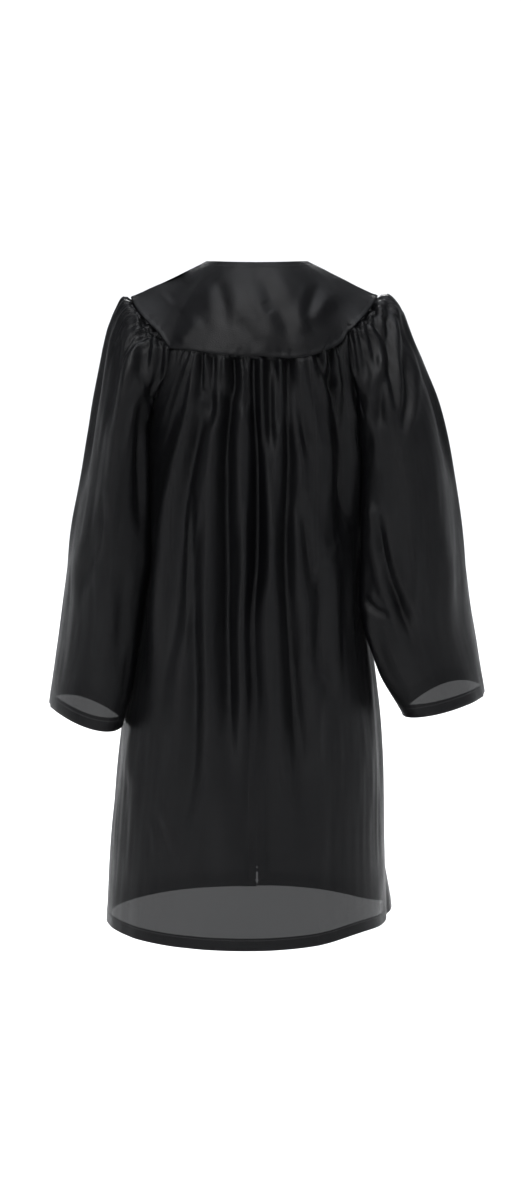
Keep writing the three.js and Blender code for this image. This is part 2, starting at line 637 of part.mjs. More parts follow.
function sleeve(side) {
  const grid = sleeveRows(side);
  const thickness = hemmed(grid.length - 1);
  return { name: `sleeve_${side}`, grid, closed: true, outward: fromRing, thickness };
}

// Zip. The tapes lie against the inner face of the front edges, so their points are those edges' points
// moved in.
function closureRows(yoke, panel) {
  const rows = [yoke, panel].flatMap((sheet) => sheet.grid.map((row, r) => ({ sheet, row, r })));
  rows.splice(yoke.grid.length, 1); // the panel's first row is the yoke's last one
  return rows.map(({ sheet, row, r }) => ({
    edge: row.at(-1),
    next: row.at(-2),
    normal: sheet.normals[r].at(-1),
    wall: sheet.thickness(r),
  }));
}

// The point of a closure row's cloth at a distance from the middle, moved in by a depth. Between the edges
// of the two fronts it goes straight across.
function closurePoint({ edge, next, normal }, out, depth) {
  const share = (out - Math.abs(edge.x)) / (Math.abs(next.x) - Math.abs(edge.x));
  const point = edge.clone().lerp(next, Math.max(0, share)).addScaledVector(normal, -depth);
  return point.setX(Math.sign(edge.x) * out);
}

function zipTape(side, rows) {
  const grid = rows.slice(0, -1).map((row) =>
    [TAPE.inner, TAPE.inner + TAPE.width].map((out) => closurePoint(row, out, row.wall + CLEAR)),
  );
  return { name: `zip_tape_${side}`, grid, outward: fromAxis, thickness: () => TAPE.thick };
}

// The middle line of the zip at a level: the cloth's surface, and its tilt.
function closureAt(rows, z) {
  const k = rows.findIndex((row) => row.edge.z <= z);
  const [upper, lower] = [rows[k - 1].edge, rows[k].edge];
  const point = upper.clone().lerp(lower, (upper.z - z) / (upper.z - lower.z));
  return { point: vec(0, point.y, z), tilt: Math.atan2(lower.y - upper.y, upper.z - lower.z) };
}

const TEETH_FRONT = TEETH.thick - WALL; // how far the teeth stand out of the cloth's surface
const teethTop = SLIDER.z + SLIDER.length / 2 - SLIDER.postLength - CLEAR;

function zipTeeth(rows) {
  const covered = (z) => z < teethTop - TEETH.firstRow && z > TEETH.bottom;
  const between = rows.map((row) => row.edge.z).filter(covered);
  const grid = [teethTop, ...between, TEETH.bottom].map((z) => {
    const { y } = closureAt(rows, z).point;
    return [-TEETH.half, TEETH.half].map((x) => vec(x, y - TEETH_FRONT, z));
  });
  return { name: "zip_teeth", grid, outward: fromAxis, thickness: () => TEETH.thick };
}

// A plate with round corners in the plane of x and z, from one depth to another; y points into the gown.
function roundedPlate(width, top, bottom, round, [near, far], window) {
  const side = width / 2;
  const shape = new THREE.Shape();
  shape.absarc(side - round, top - round, round, 0, Math.PI / 2);
  shape.absarc(round - side, top - round, round, Math.PI / 2, Math.PI);
  shape.absarc(round - side, bottom + round, round, Math.PI, 1.5 * Math.PI);
  shape.absarc(side - round, bottom + round, round, 1.5 * Math.PI, 2 * Math.PI);
  if (window) {
    const half = window.width / 2;
    const corners = [
      [-half, window.top],
      [half, window.top],
      [half, window.bottom],
      [-half, window.bottom],
    ];
    shape.holes.push(new THREE.Path(corners.map(([x, z]) => new THREE.Vector2(x, z))));
  }
  const settings = { depth: far - near, bevelEnabled: false, curveSegments: CORNER_SEGMENTS };
  const plate = new THREE.ExtrudeGeometry(shape, settings);
  return plate.rotateX(Math.PI / 2).translate(0, far, 0);
}

function block(width, [near, far], [low, high]) {
  const box = new THREE.BoxGeometry(width, far - near, high - low);
  return box.translate(0, (near + far) / 2, (low + high) / 2);
}

function solidOf(geometry) {
  const bare = geometry.clone();
  bare.deleteAttribute("normal");
  bare.deleteAttribute("uv");
  const merged = mergeVertices(bare, SAME_POINT);
  const vertProperties = new Float32Array(merged.attributes.position.array);
  const triVerts = new Uint32Array(merged.index.array);
  return new wasm.Manifold(new wasm.Mesh({ numProp: 3, vertProperties, triVerts }));
}

function joined(geometries) {
  const solid = geometries.map(solidOf).reduce((sum, other) => sum.add(other));
  const { vertProperties, triVerts } = solid.getMesh();
  const geometry = new THREE.BufferGeometry();
  geometry.setAttribute("position", new THREE.BufferAttribute(vertProperties, 3));
  return geometry.setIndex(new THREE.BufferAttribute(triVerts, 1));
}

// The slider's front plate lies over the teeth, its rear plate behind the tapes, and its post between the
// tapes' edges. The bridge that holds the tab stands on the front plate.
const plateFront = -(TEETH_FRONT + CLEAR + SLIDER.plate);
const hinge = plateFront - BRIDGE.height / 2;

function slider() {
  const half = SLIDER.length / 2;
  const rear = WALL + CLEAR + TAPE.thick + CLEAR;
  const [legIn, legOut] = [BRIDGE.room / 2, BRIDGE.room / 2 + BRIDGE.leg];
  const roofIn = plateFront - BRIDGE.height;
  const inPlate = plateFront + SLIDER.plate / 2;
  return joined([
    roundedPlate(SLIDER.width, half, -half, SLIDER.round, [plateFront, plateFront + SLIDER.plate]),
    roundedPlate(SLIDER.width, half, -half, SLIDER.round, [rear, rear + SLIDER.plate]),
    block(SLIDER.post, [inPlate, rear + SLIDER.plate / 2], [half - SLIDER.postLength, half]),
    block(BRIDGE.width, [roofIn - BRIDGE.roof, inPlate], [legIn, legOut]),
    block(BRIDGE.width, [roofIn - BRIDGE.roof, inPlate], [-legOut, -legIn]),
    block(BRIDGE.width, [roofIn - BRIDGE.roof, roofIn], [-legOut, legOut]),
  ]);
}

// The tab hangs from its bar, whose middle is the hinge.
function pullTab() {
  const window = { width: TAB.windowWidth, top: -TAB.bar / 2, bottom: -TAB.window };
  const [top, bottom] = [TAB.bar / 2, TAB.bar / 2 - TAB.length];
  return roundedPlate(TAB.width, top, bottom, TAB.round, [-TAB.thick / 2, TAB.thick / 2], window);
}

function sheetMesh(sheet, material) {
  const mesh = new THREE.Mesh(wallGeometry(sheet), material);
  mesh.name = sheet.name;
  return mesh;
}

function clothSheets() {
  const sheets = [
    backPanel(),
    frontPanel("left"),
    frontPanel("right"),
    backYoke(),
    frontYoke("left"),
    frontYoke("right"),
    sleeve("left"),
    sleeve("right"),
  ];
  for (const sheet of sheets) sheet.normals = gridNormals(sheet.grid, sheet.closed, sheet.outward);
  mitreSeams(sheets);
  for (const sheet of sheets) sheet.grid = openSeams(sheet);
  return sheets;
}

function zipMeshes(sheets) {
  const find = (name) => sheets.find((sheet) => sheet.name === name);
  const rowsOf = (side) => closureRows(find(`front_yoke_${side}`), find(`front_panel_${side}`));
  const rows = rowsOf("left");
  const tapes = [zipTape("left", rows), zipTape("right", rowsOf("right")), zipTeeth(rows)];
  const material = new THREE.MeshStandardMaterial(ZIP_CLOTH);
  const meshes = tapes.map((sheet) => {
    sheet.normals = gridNormals(sheet.grid, false, sheet.outward);
    return sheetMesh(sheet, material);
  });
  return [...meshes, ...zipHardware(rows)];
}

function zipHardware(rows) {
  const metal = new THREE.MeshStandardMaterial(ZIP_METAL);
  const named = (name, geometry, parent) => {
    const mesh = new THREE.Mesh(geometry, metal);
    mesh.name = name;
    parent.add(mesh);
    return mesh;
  };
  const groups = [SLIDER.z, TEETH.bottom - CLEAR].map((z) => {
    const { point, tilt } = closureAt(rows, z);
    const group = new THREE.Group();
    group.position.copy(point);
    group.rotation.x = tilt;
    return group;
  });
  named("zip_slider", slider(), groups[0]);
  named("zip_pull_tab", pullTab(), groups[0]).position.y = hinge;
  named("zip_stop", block(STOP.width, [-TEETH_FRONT, WALL], [-STOP.height, 0]), groups[1]);
  return groups;
}

const gown = new THREE.Group();
const cloth = new THREE.MeshStandardMaterial(CLOTH);
const sheets = clothSheets();
gown.add(...sheets.map((sheet) => sheetMesh(sheet, cloth)), ...zipMeshes(sheets));

export default gown;
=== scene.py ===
import math

import bpy
import numpy as np
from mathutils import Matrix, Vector


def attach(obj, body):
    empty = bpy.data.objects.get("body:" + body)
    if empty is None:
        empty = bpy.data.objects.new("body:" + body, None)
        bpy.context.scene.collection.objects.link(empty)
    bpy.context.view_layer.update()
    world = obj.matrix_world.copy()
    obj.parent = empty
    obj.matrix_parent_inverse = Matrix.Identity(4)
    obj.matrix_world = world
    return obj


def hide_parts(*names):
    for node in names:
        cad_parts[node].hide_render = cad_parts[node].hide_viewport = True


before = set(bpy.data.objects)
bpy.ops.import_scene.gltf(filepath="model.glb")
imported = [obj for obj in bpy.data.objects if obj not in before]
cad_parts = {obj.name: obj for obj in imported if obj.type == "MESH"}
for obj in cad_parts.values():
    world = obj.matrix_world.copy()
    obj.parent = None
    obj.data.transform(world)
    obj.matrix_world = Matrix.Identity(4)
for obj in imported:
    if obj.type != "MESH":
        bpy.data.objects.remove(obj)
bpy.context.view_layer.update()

bl_info = {
    "name": "Graduation gown",
    "version": (1, 0, 0),
    "blender": (4, 5, 0),
    "location": "View3D > Sidebar > Gown",
    "description": "Child's graduation gown: yoke, gathered panels, bell sleeves and zip, worn form",
    "category": "Add Mesh",
}

# Lengths are in millimetres, as on a pattern, and a mesh is made in metres.
MM = 0.001
SEED = 27


def linear(text):
    """An sRGB hex colour as linear red, green, blue and 1."""
    parts = [int(text[i : i + 2], 16) / 255 for i in (1, 3, 5)]
    return tuple(v / 12.92 if v <= 0.04045 else ((v + 0.055) / 1.055) ** 2.4 for v in parts) + (1.0,)


def table(columns, *rows):
    """A short table with named columns."""
    return np.array(list(rows), dtype=[(name, float) for name in columns.split()])


def ease(t):
    """A smooth step from 0 to 1."""
    t = np.clip(t, 0, 1)
    return t * t * (3 - 2 * t)


def mix(a, b, t):
    return a + (b - a) * t


def bell(distance, width):
    """1 at no distance, and a smooth fall to 0 either side."""
    return np.exp(-((distance / width) ** 2))


def signed_power(v, p):
    """The power of a size that keeps its sign, which makes an oval squarer or rounder."""
    return np.sign(v) * np.abs(v) ** p


def unit(v):
    return v / np.maximum(np.linalg.norm(v, axis=-1, keepdims=True), 1e-9)


# Body sections: how far the cloth reaches to each side, back and front at a level
TORSO_POWER = 2.3
TORSO = table(
    "z left right back front",
    (-50, 112, -112, 76, -68),
    (-85, 118, -117, 86, -82),
    (-120, 117, -115, 89, -87),
    (-165, 112, -110, 91, -89),
    (-240, 111, -107, 94, -91),
    (-300, 113, -108, 97, -94),
    (-367, 122, -114, 100, -97),
    (-485, 139, -127, 104, -101),
    (-600, 149, -130, 107, -105),
    (-690, 155, -133, 110, -108),
)

# The hem and the yoke's seams at each distance across, and the front's own level at the hem
BACK_HEM = table(
    "x z", (153, -669), (120, -673), (60, -676.5), (0, -677.5), (-60, -674.5), (-105, -667.5), (-131, -668)
)
SIDE_HEM = {"left": -669, "right": -668}
FRONT_HEM_RISE = 7
BACK_YOKE_SEAM = table(
    "x z",
    (86, -81),
    (60, -81.5),
    (34, -84.5),
    (-5, -87),
    (-22, -88.5),
    (-39, -87),
    (-56, -82.5),
    (-78, -75),
    (-90, -65),
)
FRONT_YOKE_SEAM = table("x z", (90, -80), (62, -90), (34, -97), (3.4, -101))
ZIP_GAP = 3.4
FRONT_SEAM_Z = -101
NECK_FRONT_Z = -78

# Armhole seam: its distance from the middle at each level
ARMHOLE = {
    "left": table(
        "z back front",
        (-60, 84, 86),
        (-81, 86, 90),
        (-108, 92, 94),
        (-138, 102, 102),
        (-158, 110, 110),
        (-165, 112, 112),
    ),
    "right": table(
        "z back front",
        (-45, 90, 84),
        (-65, 90, 86),
        (-81, 91, 90),
        (-108, 94, 94),
        (-138, 101, 101),
        (-158, 108, 108),
        (-165, 110, 110),
    ),
}
UNDERARM_Z = -165
YOKE_CORNER_Z = {
    "left": {"back": -81, "front": -80},
    "right": {"back": -65, "front": -80},
}
# Below the yoke's corners the cloth spreads to the side seams over this height and this share across
SPREAD_HEIGHT = 240
SPREAD_SHARE = 0.3

# The yoke's edge from each corner up to the shoulder point
SHOULDER_SEAM = {
    "left": {
        "back": [(98, 51, -66), (108.6, 40, -57), (117, 28, -48.5), (122.5, 14, -41), (125.5, 0, -36)],
        "front": [(103, -44, -65), (114, -30, -52), (122, -14, -42), (125.5, 0, -36)],
    },
    "right": {
        "back": [(-98, 52, -58), (-105.5, 42, -51.5), (-111.5, 29, -45.5), (-117, 14, -39), (-120, 0, -34.5)],
        "front": [(-101, -44, -65), (-110, -30, -52), (-117, -14, -41), (-120, 0, -34.5)],
    },
}
NECK = {
    "back": [(50, 0, 0), (39, 25, 1.5), (21, 39.5, 2), (0, 43, 2)],
    "front": [
        (50, 0, 0),
        (47, -27, -13),
        (34, -51, -35),
        (17.5, -69.5, -59),
        (9, -76, -70.5),
        (3.4, -79.2, -78),
    ],
}
# The yoke: its bulge, the neck edge's share over the shoulders, and a power that flattens it by the zip
YOKE_BULGE = {"back": 9, "front": 3, "shoulder": -0.5}
YOKE_SHOULDER = {"back": 0.3, "front": 0.22}
YOKE_FLAT = 8
YOKE_SOFT = {"share": 0.5, "edge": 0.3, "times": 500}  # rounds the turn between shoulder and back

# Sleeve rings from the armhole to the cuff, each a leaning oval
RING_COLUMNS = "out y z width depth rise inset slant dip"
SLEEVE_RINGS = {
    "left": table(
        RING_COLUMNS,
        (130, 1, -110, 11, 62, 63, 26, 1, 0),
        (133, 4, -125, 17, 65, 53, 13, 3, 0),
        (137.5, 6, -166, 22, 63, 31, 4, 4, 0),
        (143.5, 8, -220, 27, 61, 20, 0, 6, 0),
        (151.5, 9, -292, 34.5, 59, 12, 0, 10, 0),
        (160.5, 9, -367, 35, 60, 6, 0, 15, 3),
        (173, 10, -456, 36, 60, 7, 0, 14, 6),
    ),
    "right": table(
        RING_COLUMNS,
        (127.5, 1, -108, 13, 62, 66, 24, 1, 0),
        (133, 4, -128, 22, 66, 53, 13, 4, 0),
        (146.5, 7, -173, 32.5, 65, 31, 4, 6, 0),
        (154.5, 10, -226, 40, 63, 18, 0, 10, 0),
        (160, 14, -290, 45, 62, 10, 0, 17, 0),
        (167, 15, -364, 46, 62, 3, 0, 24, 0),
        (189, 9, -446, 40, 60, 8, 0, 15, 1),
    ),
}
# How far the back of each sleeve folds in over the body's side, at each level
LEFT_INNER = (-140, 0), (-180, 8), (-215, 12), (-290, 13), (-335, 8), (-390, 6), (-430, 5), (-462, 0)
RIGHT_INNER = (-125, 0), (-160, 8), (-228, 13), (-280, 12), (-335, 12), (-385, 7), (-415, 7), (-450, 0)
SLEEVE_INNER = {"left": table("z reach", *LEFT_INNER), "right": table("z reach", *RIGHT_INNER)}
INNER_TURN = {"at": 140, "width": 30}  # degrees round the sleeve from the shoulder point
# The front of each cuff hangs higher than its back, by this share of the last ring
CUFF_RISE = {"left": 0.15, "right": 0.17, "at": 270, "width": 62}
PUFF = {"height": 5, "share": 0.4}  # the gathers stand up along the top of the armhole
RING_CORNER = 68  # degrees from the shoulder point to the yoke's corner
FLARE = {"at": 0.2, "width": 0.14, "reach": 12, "lift": 3, "from": -585}  # a fold at the right front's hem
MEETING = {"from": -652, "height": 8, "width": 24, "reach": 2.9}  # the fronts meet below the zip

SIDE_SIGN = {"left": 1, "right": -1}
LEVEL = (1, 1, 0)  # keeps the part of a direction that lies level

# Creases are lines in the plane that they are seen in, from behind unless said. A trough has a positive
# depth and a ridge a negative one, width is the half-width where it starts and spread how much wider it ends.


def gathered(depth, width, spread, *line):
    """A crease that starts at a gathered seam."""
    return {"depth": depth, "width": width, "spread": spread, "line": line, "fade": "gathered"}


def free(depth, width, spread, *line):
    """A crease that starts and ends within the cloth."""
    return {"depth": depth, "width": width, "spread": spread, "line": line, "fade": "free"}


BACK_CREASES = [
    gathered(5, 3.4, 1.6, (56, -84), (55, -110), (53, -139)),
    gathered(5.6, 3.4, 1.7, (43, -86), (44, -129), (45, -163)),
    gathered(4.6, 2.9, 1.5, (36, -87), (35, -114), (32, -139)),
    gathered(
        10, 4.9, 2.4, (24, -87), (23, -114), (27, -142), (30, -178), (29, -326), (27, -426), (25, -527),
        (22, -590),
    ),
    gathered(5, 3, 1.6, (12, -88), (11, -114), (13, -149)),
    gathered(
        7.5, 3.8, 2.6, (4, -88), (3, -129), (0, -178), (0, -286), (6, -346), (4, -426), (9, -517),
        (15, -567), (18, -610),
    ),
    gathered(6, 3.6, 1.6, (-13, -89), (-13, -129), (-13, -188)),
    gathered(4.1, 2.9, 1.5, (-19, -89), (-21, -129), (-22, -168)),
    gathered(
        8.8, 4.3, 2.4, (-30, -88), (-30, -129), (-32, -197), (-29, -286), (-32, -346), (-38, -426),
        (-43, -527), (-46, -590),
    ),
    gathered(5.4, 3.9, 1.5, (-35, -88), (-40, -129), (-47, -168), (-55, -198)),
    gathered(6, 3.4, 1.6, (-59, -83), (-64, -98), (-71, -114), (-77, -131)),
    gathered(8.8, 3.8, 2.4, (-73, -78), (-75, -99), (-78, -129), (-83, -168), (-86, -227), (-86, -286)),
    gathered(5.4, 3.1, 2, (-81, -74), (-84, -94), (-87, -119), (-90, -168), (-91, -227), (-88, -281)),
    free(-6, 7, 1.6, (59, -88), (62, -119), (69, -168), (83, -227), (92, -286), (100, -380), (106, -470)),
    free(-2.5, 3.9, 1.3, (65, -88), (75, -124), (85, -154)),
    free(8.1, 6.5, 1.5, (51, -129), (65, -187), (73, -227), (78, -286), (81, -366), (80, -416)),
    free(6, 5.9, 1.6, (63, -227), (64, -326), (62, -426), (66, -507), (74, -547), (82, -600)),
    free(-2, 3.3, 1.2, (69, -227), (70, -326), (70, -416)),
    free(-4, 8.8, 1.3, (41, -148), (48, -227), (49, -326), (47, -426), (49, -507)),
    free(-3.5, 7.7, 1.3, (17, -178), (14, -286), (16, -366), (14, -446), (17, -517)),
    free(-4, 8.8, 1.4, (-11, -207), (-15, -286), (-14, -376), (-16, -466), (-13, -547)),
    free(4.2, 5.2, 1.5, (-42, -227), (-48, -262), (-52, -286), (-57, -336)),
    free(-4.5, 8.8, 1.2, (-54, -124), (-60, -158), (-64, -197), (-62, -247)),
    free(-3, 6.6, 1.2, (-72, -286), (-74, -346), (-77, -426)),
    free(-2.5, 6.6, 1.2, (-64, -406), (-58, -456), (-51, -507)),
    free(4.2, 5.9, 1.4, (-67, -286), (-62, -366), (-57, -426)),
    free(-1.4, 5.5, 1, (-64, -291), (-74, -282), (-81, -274), (-86, -266)),
    free(1.8, 3.9, 1.2, (98, -547), (94, -567), (88, -593)),
    free(-2, 4.4, 1.2, (122, -451), (126, -476), (128, -502), (129, -527)),
]

# The fronts, seen from the front
FRONT_CREASES = {
    "left": [
        gathered(7, 3, 2.4, (24, -98), (23, -140), (26, -200), (27, -330), (31, -460)),
        gathered(4.5, 2.6, 1.6, (36, -96), (37, -130), (35, -176)),
        gathered(8, 3.4, 2.4, (50, -93), (50, -140), (56, -210), (58, -350), (63, -520)),
        gathered(5, 2.8, 2, (66, -89), (69, -130), (76, -190), (80, -260)),
        gathered(6, 3, 2, (79, -84), (83, -130), (90, -200), (93, -330), (96, -430)),
        free(-3.5, 8, 1.3, (38, -190), (42, -300), (44, -420), (46, -560)),
        free(-3, 7, 1.3, (72, -250), (76, -380), (80, -500)),
        free(-2.5, 5, 1.3, (14, -180), (15, -300), (17, -440)),
        free(3, 5, 1.4, (101, -300), (106, -400), (112, -500)),
    ],
    "right": [
        gathered(6, 3, 2, (-19, -99), (-20, -150), (-17, -230), (-20, -340)),
        gathered(8, 3.4, 2.4, (-33, -97), (-33, -140), (-38, -220), (-41, -360), (-40, -540)),
        gathered(4, 2.6, 1.5, (-46, -94), (-44, -125), (-47, -160)),
        gathered(7, 3, 2.4, (-60, -91), (-62, -140), (-67, -230), (-68, -380), (-72, -470)),
        gathered(5, 2.6, 2, (-77, -85), (-82, -130), (-88, -190), (-90, -290)),
        free(-3.5, 8, 1.3, (-28, -210), (-30, -320), (-31, -450), (-33, -580)),
        free(-3, 8, 1.3, (-54, -230), (-55, -340), (-57, -460)),
        free(-2.5, 6, 1.3, (-82, -330), (-86, -430), (-92, -540)),
    ],
}

# The sleeves, seen from behind, from the front and from the outer side, whose lines are (y, z)
SLEEVE_CREASES = {
    "left": {
        "back": [
            gathered(4, 3, 1.8, (111, -49), (113, -80), (118, -125)),
            gathered(4.5, 3, 1.7, (104, -59), (107, -92), (109, -135)),
            gathered(4.5, 3, 1.6, (96, -67), (99, -100), (105, -150)),
            gathered(3, 2.4, 1.5, (92, -75), (95, -105), (98, -129)),
            free(4, 4.5, 1.3, (136, -63), (139, -97), (143, -132), (148, -171)),
            free(-3.5, 7, 1.3, (120, -78), (129, -112), (137, -152), (142, -211), (155, -291)),
            free(5, 5, 1.3, (112, -132), (115, -201), (113, -261), (106, -276)),
            free(3.5, 5.5, 1.3, (150, -231), (158, -271), (170, -306), (180, -341)),
            free(-2.5, 7, 1.3, (142, -330), (147, -380), (156, -430)),
            free(2.5, 6, 1.3, (132, -300), (136, -360), (143, -420)),
        ],
        "front": [
            gathered(4, 4.5, 1.5, (128, -60), (132, -110), (135, -170)),
            free(5, 5.5, 1.4, (120, -150), (126, -220), (134, -300)),
            free(4, 6.5, 1.3, (158, -260), (166, -330), (176, -410)),
            free(-3, 8, 1.2, (144, -130), (150, -220), (160, -330)),
        ],
        "outer": [
            gathered(3.5, 4.5, 1.8, (18, -50), (22, -100), (20, -160), (26, -240)),
            gathered(4, 4.5, 1.6, (-14, -48), (-17, -100), (-13, -170)),
            free(-3, 8, 1.2, (4, -90), (6, -200), (2, -330)),
            free(3, 7, 1.3, (-30, -220), (-26, -310), (-20, -400)),
        ],
    },
    "right": {
        "back": [
            gathered(4, 2.8, 1.5, (-92, -63), (-95, -85), (-98, -118)),
            gathered(4, 2.8, 1.6, (-98, -53), (-103, -78), (-108, -118)),
            gathered(4.5, 3, 1.7, (-105, -43), (-111, -68), (-118, -112)),
            gathered(4, 3, 1.7, (-111, -36), (-118, -58), (-126, -98)),
            free(4.5, 4, 1.2, (-131, -40), (-130, -73), (-136, -132), (-144, -160)),
            free(4.5, 4, 1.2, (-144, -160), (-149, -132), (-146, -73), (-139, -45)),
            free(4, 4.5, 1.3, (-126, -102), (-121, -137), (-116, -171)),
            free(-3, 5, 1.2, (-109, -142), (-116, -158), (-118, -183), (-114, -209)),
            free(
                7, 4.5, 1.3, (-117, -251), (-127, -301), (-140, -331), (-152, -361), (-154, -376),
                (-149, -383),
            ),
            free(-5, 4.5, 1.3, (-112, -236), (-122, -291), (-134, -331)),
            free(3, 3, 1, (-107, -331), (-122, -343), (-137, -343)),
            free(-3, 4.5, 1.2, (-108, -336), (-114, -371), (-129, -412), (-149, -444)),
            free(-2.5, 8, 1.3, (-168, -130), (-178, -220), (-190, -330), (-200, -400)),
            free(2, 6, 1.3, (-160, -190), (-168, -270), (-178, -350)),
        ],
        "front": [
            gathered(4, 4.5, 1.5, (-124, -58), (-131, -105), (-142, -165)),
            free(5, 5.5, 1.5, (-128, -150), (-136, -230), (-140, -300)),
            free(4, 6, 1.3, (-170, -230), (-178, -320), (-192, -400)),
            free(-3, 8, 1.2, (-152, -120), (-160, -220), (-166, -320)),
        ],
        "outer": [
            gathered(4, 4.5, 1.8, (22, -50), (27, -100), (24, -160), (30, -230)),
            gathered(3.5, 4.5, 1.6, (-10, -48), (-14, -95), (-12, -150)),
            free(-3, 8, 1.2, (8, -100), (12, -210), (6, -340)),
            free(3, 7, 1.3, (-28, -180), (-22, -280), (-14, -390)),
        ],
    },
}

# The yoke, seen from behind: soft pulls, in millimetres across and down
YOKE_CREASES = [
    free(2.6, 7, 1.3, (-4, -12), (-22, -42), (-32, -67), (-40, -82)),
    free(1.1, 4.5, 1.4, (17, -50), (7, -67), (-6, -83)),
    free(0.8, 5, 1, (-7, -34), (-15, -46)),
    free(2, 8, 1.1, (90, -36), (80, -24), (68, -10)),
    free(-1.8, 7, 1.2, (-50, -56), (-67, -39), (-82, -27)),
    free(-1.8, 6, 1.2, (76, -76), (65, -63), (54, -50)),
    free(1.6, 6, 1.2, (40, -14), (32, -40), (28, -66)),
    free(1.4, 5, 1.2, (-60, -20), (-52, -44), (-56, -70)),
]
FRONT_YOKE_CREASES = {
    "left": [
        free(1.2, 6, 1.2, (52, -22), (66, -48), (72, -78)),
        free(-0.9, 6, 1.2, (40, -50), (54, -68), (60, -84)),
    ],
    "right": [
        free(1.1, 6, 1.2, (-56, -20), (-64, -50), (-78, -76)),
        free(-0.9, 5, 1.2, (-36, -54), (-46, -74), (-50, -90)),
    ],
}
LIP = {"share": 0.3, "at": 2.1, "width": 0.9}  # a trough lifts the cloth beside it by this share
CREASE_FADE = {"gathered": 5, "free": 0.3}  # mm at a seam, or the share of a free crease's length
CREASE_START = 0.35  # the share of its fade that a crease has behind it where it starts
CREASE_END = 0.34  # the share of its length over which a crease dies out
CREASE_REACH = 4  # half-widths beyond which a crease is too faint to count
LINE_STEPS = 7  # straight steps for each point of a crease's line

# Small gathers at a seam: spacing along it, depth, the lengths they run and how they drift
GATHERS = {
    "panel": {"spacing": 7.6, "depth": (1.0, 3.4), "reach": (18, 110), "drift": 4},
    "sleeve": {"spacing": 8, "depth": (1.4, 4.2), "reach": (32, 120), "drift": 3},
}
GATHER_STEP = (0.55, 1.5)  # the least and greatest step from one gather to the next, in spacings
GATHER_SHORT = 2.2  # above 1, most gathers are short
GATHER_END = 1.2  # a gather isn't worked out past this share of its length
GATHER_START = 4  # a gather grows over this distance below the seam
GATHER_WIDTH = (0.26, 0.42)  # half-width at the seam, in spacings
GATHER_SPREAD = 1.6  # how much wider a gather ends

# How the cut pieces are finished, and how finely each is drawn
HEM = {"turn": 12, "gap": 0.7, "stitch_inside": 1.5}
EDGE = {"turn": 7, "gap": 0.7, "stitch": 5.5}
YOKE_EDGE = {"turn": 6, "gap": 0.8}
ZIP_EDGE = {"turn": 8, "gap": 0.7}
TUCK = {"depth": 1.7, "height": 4.5}
ALLOWANCE = {
    "top": {"reach": 4, "sink": 2.4},
    "side": {"reach": 6, "sink": 1.2},
    "sleeve": {"reach": 6, "sink": 3.6},
}
SEAM_DIP = {"depth": 0.9, "width": 1.6}
STITCH = {"pitch": 3, "radius": 0.22}
# A stitch dives into the cloth at both ends: places along it, thickness and height there, and its section
STITCH_LENGTHS = (0, 0.2, 0.5, 0.8, 1)
STITCH_SIZES = (0.25, 0.85, 1, 0.85, 0.25)
STITCH_LIFTS = (-0.7, 0.2, 0.35, 0.2, -0.7)
STITCH_RING = ((1, 0), (0, 1), (-1, 0), (0, -0.6))
SLEEVE_GIRTH = 400  # the width of a sleeve's cut in its UV map

# Low uneven waves: how many there are across and down each piece, and how high the large and small ones are
WAVES = {"back": (26, 7), "front": (13, 7), "sleeve": (24, 6), "yoke": (14, 4)}
RIPPLES = {"back": (60, 12), "front": (30, 12), "sleeve": (54, 10), "yoke": (70, 1)}
WAVE_HEIGHT = {"panel": 0.7, "yoke": 0.35}
RIPPLE_HEIGHT = {"panel": 0.22, "sleeve": 0.2, "yoke": 0.35}

# Where the creases die out: beside the side edges, in mm, and by which share down to the hem from which level
PANEL_FADE = {
    "back": {"side": 14, "share": 0.75, "from": 0.8},
    "front": {"side": 12, "share": 0.7, "from": 0.72},
}
# On a sleeve they die out in degrees from the shoulder point, and the gathers end where the yoke does
SLEEVE_FADE = {"share": 0.75, "from": 0.7, "under": 0.7, "under_from": 120, "under_over": 50}
SLEEVE_GATHERS = {"before": 14, "over": 22}
SLEEVE_TUCK_OVER = 12
SLEEVE_JOIN = 0.03
# The turn of the cloth at which a crease seen from one side begins to show, and the turn that it takes
FACING = {"across": (0.05, 0.4), "outer": (0.45, 0.35)}
# The yoke's creases die out at its edges, its seam edge stands proud, and the seam pulls at it
YOKE_FADE = 8
YOKE_EDGE_SHOWN = 2
YOKE_ROLL = {"height": 0.5, "at": 1.5, "width": 2.2}
YOKE_PULL_WIDTH = 7

BACK_GRID = {"columns": 300, "rows": 270, "hem": 8}
FRONT_GRID = {"columns": 150, "rows": 240, "hem": 8}
SLEEVE_GRID = {"columns": 320, "rows": 210}
YOKE_GRID = {"shoulder": 44, "back": 200, "front": 80, "rows": 80}
# Steps down a panel: beside the armhole, then beside the side seam, with the last one for the hem's turn
ARMHOLE_ROWS = 7
SIDE_ROWS = 8
PANEL_ROWS = ARMHOLE_ROWS + SIDE_ROWS
CROWDING = {"armhole": 1.6, "middle": 1.25}  # powers that crowd the rows by the underarm and the yoke
FADE = 3  # the power at which the curves of seam and hem die out along a panel


def along(rows, key, column, at):
    """The column's value where the key column has this value, on a smooth curve through the rows."""
    keys, values = rows[key], rows[column]
    if keys[0] > keys[-1]:
        keys, values = keys[::-1], values[::-1]
    index = np.arange(len(keys))
    before, after = np.maximum(index - 1, 0), np.minimum(index + 1, len(keys) - 1)
    slopes = (values[after] - values[before]) / (keys[after] - keys[before])
    k = np.clip(np.searchsorted(keys, at, side="right") - 1, 0, len(keys) - 2)
    span = keys[k + 1] - keys[k]
    t = np.clip((at - keys[k]) / span, 0, 1)
    bend = t * (1 - t) * ((1 - t) * slopes[k] - t * slopes[k + 1]) * span
    return mix(values[k], values[k + 1], ease(t)) + bend


